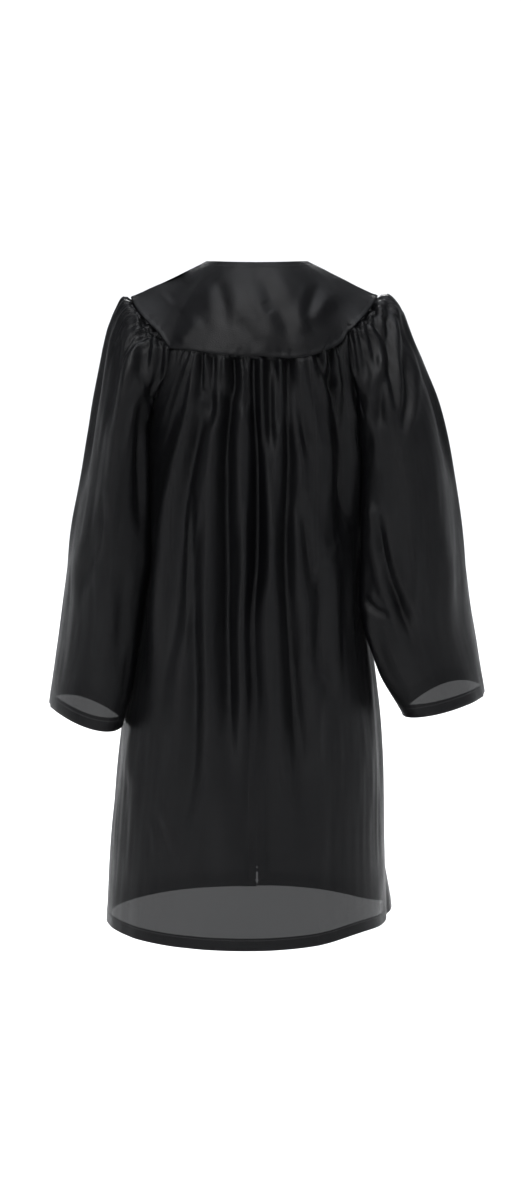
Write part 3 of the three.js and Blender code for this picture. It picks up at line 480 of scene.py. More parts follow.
def curve_points(points, shares):
    """Points at shares of a centripetal curve through the given ones; points may hold many curves."""
    points = np.asarray(points, float)
    before = 2 * points[..., :1, :] - points[..., 1:2, :]
    after = 2 * points[..., -1:, :] - points[..., -2:-1, :]
    padded = np.concatenate([before, points, after], axis=-2)
    at = np.clip(shares, 0, 1) * (points.shape[-2] - 1)
    k = np.minimum(at.astype(int), points.shape[-2] - 2)
    a, b, c, d = (np.moveaxis(padded[..., k + i, :], -2, 0) for i in range(4))
    t = (at - k).reshape(-1, *[1] * (a.ndim - 1))

    def knot(p, q):
        return np.maximum(np.linalg.norm(q - p, axis=-1, keepdims=True), 1e-6) ** 0.5

    first, middle, last = knot(a, b), knot(b, c), knot(c, d)
    leaving = ((b - a) / first - (c - a) / (first + middle) + (c - b) / middle) * middle
    arriving = ((c - b) / middle - (d - b) / (middle + last) + (d - c) / last) * middle
    square = 3 * (c - b) - 2 * leaving - arriving
    cube = 2 * (b - c) + leaving + arriving
    return b + t * (leaving + t * (square + t * cube))


def even_points(points, shares):
    """Points at shares of the curve's length."""
    fine = np.linspace(0, 1, 401)
    steps = np.linalg.norm(np.diff(curve_points(points, fine), axis=0), axis=1)
    run = np.concatenate([[0], np.cumsum(steps)])
    return curve_points(points, np.interp(np.asarray(shares) * run[-1], run, fine))


def torso(angle, z):
    """The unfolded body cloth at an angle from the middle of the back."""
    left, right, back, front = (along(TORSO, "z", name, z) for name in ("left", "right", "back", "front"))
    depth = np.where(np.cos(angle) >= 0, back, -front)
    out, rear = (signed_power(v, 2 / TORSO_POWER) for v in (np.sin(angle), np.cos(angle)))
    return np.stack([(left + right) / 2 + (left - right) / 2 * out, depth * rear, z + 0 * angle], axis=-1)


def torso_angle(x, z, face):
    """The angle at which the body cloth lies at a distance across."""
    left, right = along(TORSO, "z", "left", z), along(TORSO, "z", "right", z)
    share = np.clip((x - (left + right) / 2) / ((left - right) / 2), -1, 1)
    angle = np.arcsin(signed_power(share, TORSO_POWER / 2))
    return angle if face == "back" else np.pi - angle


def armhole_angle(side, face, z):
    """The angle of the armhole seam at a level, and of the side seam below it."""
    z = np.asarray(z, float)
    angle = torso_angle(SIDE_SIGN[side] * along(ARMHOLE[side], "z", face, z), z, face)
    if (side, face) == ("right", "front"):
        angle = angle - 2 * np.pi
    return np.where(z <= UNDERARM_Z + 1e-4, SIDE_SIGN[side] * np.pi / 2, angle)


def hanging_angle(side, face, z):
    """The angle of the column of cloth that hangs from the yoke's corner, spreading to the side seam."""
    corner_z = YOKE_CORNER_Z[side][face]
    corner, under = armhole_angle(side, face, corner_z), armhole_angle(side, face, UNDERARM_Z)
    return mix(corner, under, ease((corner_z - z) / SPREAD_HEIGHT))


def seam_pull(side, face, z, from_side):
    """How far the armhole seam pulls the cloth aside from how it would hang."""
    aside = armhole_angle(side, face, z) - hanging_angle(side, face, z)
    return aside * (1 - ease(from_side / SPREAD_SHARE))


def side_level(row, top, hem):
    """The level of a row beside the armhole and the side seam."""
    upper = mix(top, UNDERARM_Z, 1 - (1 - np.clip(row / ARMHOLE_ROWS, 0, 1)) ** CROWDING["armhole"])
    lower = mix(UNDERARM_Z, hem + HEM["turn"], (row - ARMHOLE_ROWS) / (SIDE_ROWS - 1))
    edge = mix(hem + HEM["turn"], hem, row - (PANEL_ROWS - 1))
    return np.where(row <= ARMHOLE_ROWS, upper, np.where(row <= PANEL_ROWS - 1, lower, edge))


def middle_level(row, top, hem):
    """The level of a row in the middle of a panel."""
    share = np.clip(row / (PANEL_ROWS - 1), 0, 1) ** CROWDING["middle"]
    edge = mix(hem + HEM["turn"], hem, row - (PANEL_ROWS - 1))
    return np.where(row <= PANEL_ROWS - 1, mix(top, hem + HEM["turn"], share), edge)


def back_points(across, row):
    """The unfolded back panel, from the left side seam to the right one and from the yoke to the hem."""
    top = mix(YOKE_CORNER_Z["left"]["back"], YOKE_CORNER_Z["right"]["back"], across)
    hem = mix(SIDE_HEM["left"], SIDE_HEM["right"], across)
    sides = [side_level(row, YOKE_CORNER_Z[side]["back"], SIDE_HEM[side]) for side in ("left", "right")]
    inner = ease(np.minimum(across, 1 - across) / SPREAD_SHARE)
    level = mix(mix(sides[0], sides[1], across), middle_level(row, top, hem), inner)
    angle = mix(hanging_angle("left", "back", level), hanging_angle("right", "back", level), across)
    pull = seam_pull("left", "back", sides[0], across)
    angle = angle + pull + seam_pull("right", "back", sides[1], 1 - across)
    down = (top - level) / (top - hem)
    seam_x = mix(BACK_YOKE_SEAM["x"][0], BACK_YOKE_SEAM["x"][-1], across)
    dip = along(BACK_YOKE_SEAM, "x", "z", seam_x) - top
    sag = along(BACK_HEM, "x", "z", torso(angle, hem)[..., 0]) - hem
    return torso(angle, level + dip * (1 - down) ** FADE + sag * down**FADE)


def front_points(side, across, row):
    """The unfolded front panel, from the side seam to the zip."""
    top, hem = YOKE_CORNER_Z[side]["front"], SIDE_HEM[side]
    side_z = side_level(row, top, hem)
    level = mix(side_z, middle_level(row, top, hem), ease(across / (2 * SPREAD_SHARE)))
    down = (top - level) / (top - hem)
    seam = FRONT_YOKE_SEAM
    dip = along(seam, "x", "z", mix(seam["x"][0], seam["x"][-1], across)) - top
    z = level + dip * (1 - down) ** FADE + FRONT_HEM_RISE * ease(across) * down**FADE
    edge = torso_angle(SIDE_SIGN[side] * seam["x"][-1], z, "front")
    if side == "right":
        edge = edge - 2 * np.pi
    pull = seam_pull(side, "front", side_z, across / 2)
    return torso(mix(hanging_angle(side, "front", level), edge, across) + pull, z)


def shoulder_points(side, face, shares):
    """The yoke's edge from its corner to the shoulder point."""
    corner = torso(armhole_angle(side, face, YOKE_CORNER_Z[side][face]), YOKE_CORNER_Z[side][face])
    return even_points([corner, *SHOULDER_SEAM[side][face]], shares)


def neck_points(side, face, shares):
    """The neck's edge from the shoulder to the middle."""
    return even_points([(SIDE_SIGN[side] * x, y, z) for x, y, z in NECK[face]], shares)


def yoke_points(neck, edge, bulge, down):
    """A smooth sheet between the neck opening and the seam, one column for each pair of points."""
    chord = edge - neck
    out = unit(chord * LEVEL)
    flat = np.hypot(chord[:, :1], chord[:, 1:2])
    lift = unit(-chord[:, 2:] * out + flat * (0, 0, 1)) * bulge[:, None]
    down = down[:, None, None]
    return neck + chord * down + 4 * lift * down * (1 - down)


def sleeve_points(side, turn, steps):
    """The unfolded sleeve: turn runs from the shoulder point round the back, the underarm and the front,
    and steps count rings from the armhole, with 8 at the cuff's edge."""
    degrees = turn * 360
    corner = YOKE_CORNER_Z[side]

    def level(face, share):
        return mix(corner[face], UNDERARM_Z, 1 - (1 - np.clip(share, 0, 1)) ** CROWDING["armhole"])

    loop = np.empty((len(turn), 3))
    reach = 180 - RING_CORNER
    parts = {
        "back": (degrees <= RING_CORNER, (degrees > RING_CORNER) & (degrees <= 180)),
        "front": (degrees >= 360 - RING_CORNER, (degrees > 180) & (degrees < 360 - RING_CORNER)),
    }
    for face, (upper, lower) in parts.items():
        from_top = np.where(degrees <= 180, degrees, 360 - degrees)
        loop[upper] = shoulder_points(side, face, 1 - from_top[upper] / RING_CORNER)
        z = level(face, (from_top[lower] - RING_CORNER) / reach)
        loop[lower] = torso(armhole_angle(side, face, z), z)
    c, s = np.cos(np.radians(degrees)), np.sin(np.radians(degrees))
    rings = []
    for ring in SLEEVE_RINGS[side]:
        out = ring["out"] + ring["width"] * c - ring["inset"] * s * s - ring["slant"] * s
        z = ring["z"] + ring["rise"] * c - ring["dip"] * s * s
        rings.append(np.stack([SIDE_SIGN[side] * out, ring["y"] + ring["depth"] * s, z], axis=-1))
    lift = PUFF["height"] * np.maximum(0, c)
    puffed = np.stack([PUFF["share"] * lift * SIDE_SIGN[side], 0 * lift, lift], axis=-1)
    gathers = mix(loop, rings[0], PUFF["share"]) + puffed
    through = np.stack([loop, gathers, *rings], axis=-2)
    count = len(rings) + 1
    rise = CUFF_RISE[side] * bell(degrees - CUFF_RISE["at"], CUFF_RISE["width"])
    columns = [
        curve_points(through[k], (steps - rise[k] * (steps / count) ** 2) / count) for k in range(len(turn))
    ]
    points = np.stack(columns, axis=1)
    reach = along(SLEEVE_INNER[side], "z", "reach", points[..., 2])
    points[..., 0] -= SIDE_SIGN[side] * reach * bell(degrees - INNER_TURN["at"], INNER_TURN["width"])
    return points


def grid_normals(points, closed, outward):
    """The outward normal at each point of a grid."""
    if closed:
        across = np.roll(points, -1, axis=1) - np.roll(points, 1, axis=1)
    else:
        across = np.gradient(points, axis=1)
    normals = unit(np.cross(across, np.gradient(points, axis=0)))
    return normals if (normals * outward).sum() > 0 else -normals


def run_down(points):
    """How far each row has run down the cloth from the first row, column by column."""
    steps = np.linalg.norm(np.diff(points, axis=0), axis=-1)
    return np.concatenate([np.zeros((1, points.shape[1])), np.cumsum(steps, axis=0)])


def run_across(points):
    """How far each column has run across the cloth from the first column, row by row."""
    steps = np.linalg.norm(np.diff(points, axis=1), axis=-1)
    return np.concatenate([np.zeros((points.shape[0], 1)), np.cumsum(steps, axis=1)], axis=1)


def crease_depth(a, b, creases):
    """How far the creases press the cloth in at the points (a, b) of the plane that they are seen in."""
    depth = np.zeros_like(a)
    for crease in creases:
        points = np.array([(x, 0, z) for x, z in crease["line"]], float)
        line = curve_points(points, np.linspace(0, 1, LINE_STEPS * len(points)))[:, (0, 2)]
        reach = CREASE_REACH * crease["width"] * max(1, crease["spread"])
        low, high = line.min(0) - reach, line.max(0) + reach
        near = (a > low[0]) & (a < high[0]) & (b > low[1]) & (b < high[1])
        if not near.any():
            continue
        p = np.stack([a[near], b[near]], axis=-1)
        start, step = line[:-1], np.diff(line, axis=0)
        lengths = np.linalg.norm(step, axis=1)
        run = np.concatenate([[0], np.cumsum(lengths)])
        best, share = np.full(len(p), np.inf), np.zeros(len(p))
        for k in range(len(step)):
            t = np.clip(((p - start[k]) @ step[k]) / lengths[k] ** 2, 0, 1)
            gap = np.linalg.norm(p - start[k] - t[:, None] * step[k], axis=1)
            closer = gap < best
            best = np.where(closer, gap, best)
            share = np.where(closer, (run[k] + t * lengths[k]) / run[-1], share)
        width = crease["width"] * mix(1, crease["spread"], share)
        profile = bell(best, width)
        if crease["depth"] > 0:
            profile = profile - LIP["share"] * bell(best - LIP["at"] * width, LIP["width"] * width)
        fade = CREASE_FADE["gathered"] / run[-1] if crease["fade"] == "gathered" else CREASE_FADE["free"]
        shown = ease((share + CREASE_START * fade) / fade) * ease((1 - share) / CREASE_END)
        depth[near] += crease["depth"] * profile * shown
    return depth


def gather_depth(rng, seam, down, kind, strength):
    """Small uneven gathers: seam is each point's distance along the seam and down how far below it."""
    make = GATHERS[kind]
    depth = np.zeros_like(down)
    at = seam.min()
    while at < seam.max():
        at += make["spacing"] * rng.uniform(*GATHER_STEP)
        reach = mix(*make["reach"], rng.random() ** GATHER_SHORT)
        width = make["spacing"] * rng.uniform(*GATHER_WIDTH)
        deep = rng.uniform(*make["depth"])
        drift = rng.normal(0, make["drift"])
        rows = slice(0, int(np.searchsorted(down.min(axis=1), GATHER_END * reach)) + 1)
        share = down[rows] / reach
        middle = at + drift * share
        spread = width * mix(1, GATHER_SPREAD, np.clip(share, 0, GATHER_END))
        shown = ease((down[rows] + 1) / GATHER_START) * (1 - ease(share))
        depth[rows] += deep * shown * bell(seam[rows] - middle, spread)
    return depth * strength


def unevenness(rng, across, down, cells, height):
    """Low uneven waves over a piece; across and down run from 0 to 1."""
    heights = rng.normal(0, height, (cells[1] + 1, cells[0] + 1))
    u, v = np.clip(across, 0, 1) * cells[0], np.clip(down, 0, 1) * cells[1]
    i, j = np.minimum(u.astype(int), cells[0] - 1), np.minimum(v.astype(int), cells[1] - 1)
    s, t = ease(u - i), ease(v - j)
    upper = mix(heights[j, i], heights[j, i + 1], s)
    lower = mix(heights[j + 1, i], heights[j + 1, i + 1], s)
    return mix(upper, lower, t)


def tucked(points, normals, cut, reach, sink):
    """Adds rows above the first one, for the seam allowance behind the neighbouring piece."""
    up = unit(points[0] - points[1])
    rows = [points[0] + reach * s * up - sink * s * normals[0] for s in (1, 0.5)]
    step = unit(cut[0] - cut[1])
    above = [cut[0] + reach * s * step for s in (1, 0.5)]
    return (
        np.concatenate([rows, points]),
        np.concatenate([normals[:1], normals[:1], normals]),
        np.concatenate([above, cut]),
    )


def turned_under(points, normals, cut, turn, gap):
    """Adds rows past the last one: the cloth rolls over and runs back behind itself."""
    steps = np.linalg.norm(np.diff(points[::-1], axis=0), axis=-1).mean(axis=1)
    count = int(np.searchsorted(np.cumsum(steps), turn)) + 2
    away = unit(points[-1] - points[-2])
    roll = points[-1] + (away - normals[-1]) * gap / 2
    behind = points[::-1][:count] - gap * normals[::-1][:count]
    beyond = 2 * cut[-1] - cut[::-1][:count]
    return (
        np.concatenate([points, roll[None], behind]),
        np.concatenate([normals, normals[-1:], normals[::-1][:count]]),
        np.concatenate([cut, cut[-1:], beyond]),
    )


def in_mm(length):
    """A property's length in millimetres, free of the noise of its single precision."""
    return round(length / MM, 4)


def hemmed(points, normals, cut, props):
    """The sheet with its last edge turned up, and the line where the turn is stitched."""
    turn = in_mm(props.hem_turn)
    line = row_above_edge(points, normals, turn - HEM["stitch_inside"])
    return turned_under(points, normals, cut, turn, HEM["gap"]), line


def sideways(sheet):
    """The same sheet with its rows and columns swapped, to finish its other edges."""
    return tuple(part.swapaxes(0, 1) for part in sheet)


def cloth_object(name, sheet, closed=False):
    """A mesh of the sheet's grid of points, with its cut's own millimetres as the UV map."""
    points, normals, cut = sheet
    rows, columns = points.shape[:2]
    spans = columns if closed else columns - 1
    r, c = (v.ravel() for v in np.meshgrid(np.arange(rows - 1), np.arange(spans), indexing="ij"))
    corners = np.stack([r, r + 1, r + 1, r], axis=-1), np.stack([c, c, c + 1, c + 1], axis=-1)
    middle = points[corners[0][:, 0], corners[1][:, 0]]
    across = points[r, (c + 1) % columns] - middle
    facing = np.cross(points[r + 1, c] - middle, across)
    if (facing * normals[r, c]).sum() < 0:
        corners = corners[0][:, ::-1], corners[1][:, ::-1]
    index = corners[0] * columns + corners[1] % columns
    wrap = (corners[1] >= columns)[..., None] * (cut[:, -1] + cut[:, 1] - 2 * cut[:, 0])[corners[0]]
    uv = cut[corners[0], corners[1] % columns] + (wrap if closed else 0)
    mesh = bpy.data.meshes.new(name)
    mesh.vertices.add(rows * columns)
    mesh.vertices.foreach_set("co", (points * MM).astype(np.float32).ravel())
    mesh.loops.add(index.size)
    mesh.loops.foreach_set("vertex_index", index.ravel().astype(np.int32))
    mesh.polygons.add(len(index))
    mesh.polygons.foreach_set("loop_start", np.arange(0, index.size, 4, dtype=np.int32))
    mesh.polygons.foreach_set("use_smooth", np.ones(len(index), bool))
    mesh.uv_layers.new(name="cut_mm").data.foreach_set("uv", uv.astype(np.float32).ravel())
    mesh.update(calc_edges=True)
    mesh.validate()
    made = bpy.data.objects.new(name, mesh)
    bpy.context.scene.collection.objects.link(made)
    return made


def seated(made, node, slot, material, **cut):
    """Puts a finished piece in the place of its CAD node, with its finish."""
    made.data.materials.append(material)
    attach(made, "gown")
    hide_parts(node)
    return made


def solid_object(name, vertices, faces):
    """A mesh from lists of corners, in millimetres, and faces."""
    mesh = bpy.data.meshes.new(name)
    mesh.from_pydata((np.asarray(vertices) * MM).tolist(), [], np.asarray(faces).tolist())
    mesh.polygons.foreach_set("use_smooth", np.ones(len(mesh.polygons), bool))
    mesh.update()
    made = bpy.data.objects.new(name, mesh)
    bpy.context.scene.collection.objects.link(made)
    return made


# Materials


def add(tree, kind, values=(), links=(), **settings):
    """A node with its settings, the values of its sockets and the links that come into them."""
    node = tree.nodes.new(kind)
    for name, value in settings.items():
        setattr(node, name, value)
    for name, value in dict(values).items():
        node.inputs[name].default_value = value
    for name, source in dict(links).items():
        tree.links.new(source, node.inputs[name])
    return node


def new_material(name):
    """A material with an empty node tree."""
    material = bpy.data.materials.new(name)
    material.use_nodes = True
    tree = material.node_tree
    tree.nodes.clear()
    return material, tree


def finish_material(tree, values, links):
    """The surface shader with its values and links, at the end of the tree."""
    shader = add(tree, "ShaderNodeBsdfPrincipled", values, links)
    add(tree, "ShaderNodeOutputMaterial", links={"Surface": shader.outputs["BSDF"]})


BAND_UNIT = 0.314159  # a wave texture of scale 1 repeats at this distance
SHARE, FIRST, SECOND, MIXED = 0, 6, 7, 2  # a Mix node's sockets for colours, whose names aren't unique


def woven_polyester_satin(props, layers=1):
    """Polyester satin, woven and calendered. Its long floats lie flat, so the light runs along a fold as a
    soft streak. One layer is thin enough to let a little light through, and two are nearly opaque."""
    material, tree = new_material(f"woven_polyester_satin_{layers}")
    cut = add(tree, "ShaderNodeUVMap", uv_map="cut_mm").outputs["UV"]
    # The threads are 0.2 mm apart, too fine to show, and are drawn as coarse as the spacing property.
    scale = BAND_UNIT / (props.thread_spacing / MM)
    bands = {
        axis: add(
            tree,
            "ShaderNodeTexWave",
            {"Scale": scale, "Distortion": 0.6, "Detail": 1.0, "Detail Scale": 2.0},
            {"Vector": cut},
            bands_direction=axis,
        )
        for axis in "XY"
    }
    weave = add(tree, "ShaderNodeMath", operation="MULTIPLY")
    tree.links.new(bands["X"].outputs["Fac"], weave.inputs[0])
    tree.links.new(bands["Y"].outputs["Fac"], weave.inputs[1])
    # Slubs are about 0.6 mm wide and 20 mm long, and the gloss changes over about 50 mm.
    slubs = add(tree, "ShaderNodeMapping", {"Scale": (1.6, 0.05, 1)}, {"Vector": cut}).outputs["Vector"]
    noise = {"Scale": 1.0, "Detail": 4.0, "Roughness": 0.6}
    streaks = add(tree, "ShaderNodeTexNoise", noise, {"Vector": slubs}).outputs["Fac"]
    patches = add(tree, "ShaderNodeTexNoise", {"Scale": 0.02, "Detail": 3.0}, {"Vector": cut})
    shades = {FIRST: linear("#050506"), SECOND: (*props.colour, 1)}
    colour = add(tree, "ShaderNodeMix", shades, {SHARE: streaks}, data_type="RGBA")
    gloss = {"To Min": props.roughness - 0.06, "To Max": props.roughness + 0.08}
    roughness = add(
        tree,
        "ShaderNodeMapRange",
        {"From Min": 0.3, "From Max": 0.7, **gloss},
        {"Value": patches.outputs["Fac"]},
    )
    # Where neighbouring floats lie unevenly the gloss breaks up into grains of about 1.3 mm.
    noise = {"Scale": 0.8, "Detail": 2.0, "Roughness": 0.6}
    grains = add(tree, "ShaderNodeTexNoise", noise, {"Vector": cut}).outputs["Fac"]
    bump = None
    for height, strength, distance in (
        (weave.outputs["Value"], 0.6, 0.1 * MM),
        (grains, 1.0, 0.4 * MM),
        (streaks, 0.3, 0.12 * MM),
    ):
        below = {"Normal": bump} if bump else {}
        relief = {"Strength": strength, "Distance": distance}
        bump = add(tree, "ShaderNodeBump", relief, {"Height": height, **below}).outputs["Normal"]
    # Floats cover only part of the face, so the level of the gloss is lower than solid polyester's. It and
    # the opacity are matched to the photo.
    stopped = 1 - (1 - props.opacity) ** layers
    finish_material(
        tree,
        {"IOR": 1.57, "Specular IOR Level": 0.135, "Alpha": stopped},
        {"Base Color": colour.outputs[MIXED], "Roughness": roughness.outputs["Result"], "Normal": bump},
    )
    return material


def spun_polyester_thread():
    """Spun polyester sewing thread, twisted: matt, with a fine slanting grain."""
    material, tree = new_material("spun_polyester_thread")
    place = add(tree, "ShaderNodeTexCoord").outputs["Object"]
    twist = add(
        tree,
        "ShaderNodeTexWave",
        {"Scale": BAND_UNIT / (0.4 * MM), "Distortion": 1.0},
        {"Vector": place},
        bands_direction="DIAGONAL",
    )
    relief = {"Strength": 0.5, "Distance": 0.05 * MM}
    bump = add(tree, "ShaderNodeBump", relief, {"Height": twist.outputs["Fac"]})
    finish_material(
        tree,
        {"Base Color": linear("#101012"), "Roughness": 0.75, "IOR": 1.57, "Sheen Weight": 0.2},
        {"Normal": bump.outputs["Normal"]},
    )
    return material


def woven_zip_tape():
    """Polyester zip tape, woven in a close herringbone: matt and dense, with fine slanting ribs."""
    material, tree = new_material("woven_zip_tape")
    place = add(tree, "ShaderNodeTexCoord").outputs["Object"]
    # Ribs are 0.5 mm apart on the real tape and 0.8 mm here, so that they show.
    ribs = add(
        tree,
        "ShaderNodeTexWave",
        {"Scale": BAND_UNIT / (0.8 * MM), "Distortion": 0.8},
        {"Vector": place},
        bands_direction="DIAGONAL",
    )
    relief = {"Strength": 0.5, "Distance": 0.1 * MM}
    bump = add(tree, "ShaderNodeBump", relief, {"Height": ribs.outputs["Fac"]})
    finish_material(
        tree,
        {"Base Color": linear("#0e0e10"), "Roughness": 0.8, "IOR": 1.57},
        {"Normal": bump.outputs["Normal"]},
    )
    return material


def drawn_polyester_coil():
    """Polyester monofilament, drawn and heat-set into a coil: smooth, with an uneven half gloss."""
    material, tree = new_material("drawn_polyester_coil")
    place = add(tree, "ShaderNodeTexCoord").outputs["Object"]
    # The gloss changes every 1.1 mm.
    lines = add(tree, "ShaderNodeTexNoise", {"Scale": 900.0, "Detail": 2.0}, {"Vector": place})
    gloss = add(tree, "ShaderNodeMapRange", {"To Min": 0.28, "To Max": 0.42}, {"Value": lines.outputs["Fac"]})
    values = {"Base Color": linear("#0d0d0f"), "IOR": 1.57}
    finish_material(tree, values, {"Roughness": gloss.outputs["Result"]})
    return material


def painted_zinc_alloy(props):
    """Zinc alloy, die cast and spray painted black: a semi-matt skin with slight orange peel, thinly rubbed
    through to grey on the sharpest edges."""
    material, tree = new_material("painted_zinc_alloy")
    place = add(tree, "ShaderNodeTexCoord").outputs["Object"]
    wear = add(tree, "ShaderNodeNewGeometry").outputs["Pointiness"]
    rubbed = add(
        tree,
        "ShaderNodeMapRange",
        {"From Min": 0.56, "From Max": 0.7, "To Min": 0.0, "To Max": 0.16},
        {"Value": wear},
    )
    paint = {FIRST: (*props.zip_colour, 1), SECOND: linear("#6c6c70")}
    colour = add(tree, "ShaderNodeMix", paint, {SHARE: rubbed.outputs["Result"]}, data_type="RGBA")
    # Orange peel has waves of about 1 mm.
    peel = add(tree, "ShaderNodeTexNoise", {"Scale": 1000.0, "Detail": 1.0}, {"Vector": place})
    relief = {"Strength": 0.15, "Distance": 0.1 * MM}
    bump = add(tree, "ShaderNodeBump", relief, {"Height": peel.outputs["Fac"]})
    finish_material(
        tree,
        {"Roughness": 0.55, "Coat Weight": 0.05, "Coat Roughness": 0.4},
        {
            "Base Color": colour.outputs[MIXED],
            "Normal": bump.outputs["Normal"],
            "Metallic": rubbed.outputs["Result"],
        },
    )
    return material


def matt_paper_floor(props):
    """Seamless studio paper, calendered: matt and pale, with a faint uneven tone over about 0.7 m."""
    material, tree = new_material("matt_paper_floor")
    place = add(tree, "ShaderNodeTexCoord").outputs["Object"]
    tone = add(tree, "ShaderNodeTexNoise", {"Scale": 1.5, "Detail": 3.0}, {"Vector": place})
    papers = {FIRST: linear("#e9e8e6"), SECOND: (*props.floor_colour, 1)}
    colour = add(tree, "ShaderNodeMix", papers, {SHARE: tone.outputs["Fac"]}, data_type="RGBA")
    finish_material(tree, {"Roughness": 0.9}, {"Base Color": colour.outputs[MIXED]})
    return material


def satin(context, layers=1):
    """The gown's satin, made once for each number of layers."""
    made = bpy.data.materials.get(f"woven_polyester_satin_{layers}")
    return made or woven_polyester_satin(context.scene.gown_cloth, layers)


# Shapes of the cloth pieces


def seam_dip(distance):
    return SEAM_DIP["depth"] * bell(distance, SEAM_DIP["width"])


def panel_rows(grid):
    """The rows of a panel, closer together where the hem is turned up."""
    above = np.linspace(0, PANEL_ROWS - 1, grid["rows"], endpoint=False)
    hem = np.linspace(PANEL_ROWS - 1, PANEL_ROWS, grid["hem"] + 1)
    return np.meshgrid(np.linspace(0, 1, grid["columns"] + 1), np.concatenate([above, hem]))


def low_waves(rng, across, down, kind, height):
    """Large and small uneven waves together."""
    large = unevenness(rng, across, down, WAVES[kind], WAVE_HEIGHT["panel"])
    return large + unevenness(rng, across, down, RIPPLES[kind], RIPPLE_HEIGHT[height])


def panel_relief(rng, points, across, kind, creases, props):
    """How far creases, gathers and waves press a panel in, and its lengths down and across."""
    down, wide = run_down(points), run_across(points)
    share = down / down[-1]
    fade = PANEL_FADE[kind]
    depth = crease_depth(points[..., 0], points[..., 2], creases)
    depth += gather_depth(rng, across * wide[0, -1], down, "panel", props.gathers)
    depth += low_waves(rng, across, share, kind, "panel")
    depth *= ease(np.minimum(wide, wide[:, -1:] - wide) / fade["side"])
    depth *= 1 - fade["share"] * ease((share - fade["from"]) / (1 - fade["from"]))
    return depth + TUCK["depth"] * (1 - ease(down / TUCK["height"])), down, wide


def back_sheet(props):
    across, row = panel_rows(BACK_GRID)
    points = back_points(across, row)
    normals = grid_normals(points, False, points * LEVEL)
    rng = np.random.default_rng(SEED)
    depth, down, wide = panel_relief(rng, points, across, "back", BACK_CREASES, props)
    depth += seam_dip(np.minimum(wide, wide[:, -1:] - wide))
    return points - depth[..., None] * normals, np.stack([across * wide[-1, -1], down], axis=-1)


def front_sheet(side, props):
    across, row = panel_rows(FRONT_GRID)
    points = front_points(side, across, row)
    normals = grid_normals(points, False, points * LEVEL)
    rng = np.random.default_rng(SEED + 1 + (side == "right"))
    depth, down, wide = panel_relief(rng, points, across, "front", FRONT_CREASES[side], props)
    depth += seam_dip(wide)
    if side == "right":
        swing = bell(across - FLARE["at"], FLARE["width"]) * ease(2 * across / FLARE["width"])
        swing = swing * ease((FLARE["from"] - points[..., 2]) / (FLARE["from"] - BACK_HEM["z"].min()))
        depth -= FLARE["reach"] * swing
        points = points + (0, 0, FLARE["lift"]) * swing[..., None]
    meeting = ease((MEETING["from"] - points[..., 2]) / MEETING["height"])
    meeting = meeting * (1 - ease((wide[:, -1:] - wide) / MEETING["width"]))
    points = points - (SIDE_SIGN[side] * MEETING["reach"], 0, 0) * meeting[..., None]
    return points - depth[..., None] * normals, np.stack([across * wide[-1, -1], down], axis=-1)


def yoke_sheet(neck, edge, bulge, creases, rng):
    """The yoke's cloth from its neck edge to its seam edge, with the turn at the shoulders rounded."""
    down = np.linspace(0, 1, YOKE_GRID["rows"] + 1)
    points = yoke_points(neck, edge, bulge, down)
    inside = ease(down / YOKE_SOFT["edge"]) * ease((1 - down) / YOKE_SOFT["edge"])
    soft = YOKE_SOFT["share"] * inside[:, None, None]
    for _ in range(YOKE_SOFT["times"]):
        beside = (points[:, :-2] + points[:, 2:]) / 2
        points[:, 1:-1] = mix(points[:, 1:-1], beside, soft)
    normals = grid_normals(points, False, up_from_body(points))
    run, wide = run_down(points), run_across(points)
    left, across = run[-1] - run, wide / wide[:, -1:]
    depth = crease_depth(points[..., 0], points[..., 2], creases)
    depth += unevenness(rng, across, run / run[-1], WAVES["yoke"], WAVE_HEIGHT["yoke"])
    pulls = unevenness(rng, across, 0 * run, RIPPLES["yoke"], RIPPLE_HEIGHT["yoke"])
    depth += pulls * bell(left, YOKE_PULL_WIDTH)
    depth *= ease(run / YOKE_FADE) * ease((left + YOKE_EDGE_SHOWN) / YOKE_FADE)
    depth -= YOKE_ROLL["height"] * bell(left - YOKE_ROLL["at"], YOKE_ROLL["width"])
    cut = np.stack([wide * 0 + wide[-1], run], axis=-1)
    return points - depth[..., None] * normals, cut


def up_from_body(points):
    """A direction that leans out of the body and up, which tells the yoke's outside from its inside."""
    return points * (1 / 3, 1, 0) + (0, 0, 90)


def back_yoke_sheet():
    shoulder = np.linspace(0, 1, YOKE_GRID["shoulder"] + 1)
    across = np.linspace(0, 1, YOKE_GRID["back"] + 1)[1:-1]
    edge = np.concatenate(
        [
            shoulder_points("left", "back", 1 - shoulder),
            back_points(across, 0 * across),
            shoulder_points("right", "back", shoulder),
        ]
    )
    half = YOKE_SHOULDER["back"] / 2
    share = np.concatenate([shoulder * half, mix(half, 1 - half, across), 1 - half + shoulder * half])
    left = neck_points("left", "back", 2 * np.minimum(share, 0.5))
    right = neck_points("right", "back", 2 - 2 * np.maximum(share, 0.5))
    neck = np.where(share[:, None] <= 0.5, left, right)
    bulge = mix(YOKE_BULGE["shoulder"], YOKE_BULGE["back"], np.sin(np.pi * share))
    return yoke_sheet(neck, edge, bulge, YOKE_CREASES, np.random.default_rng(SEED + 5))


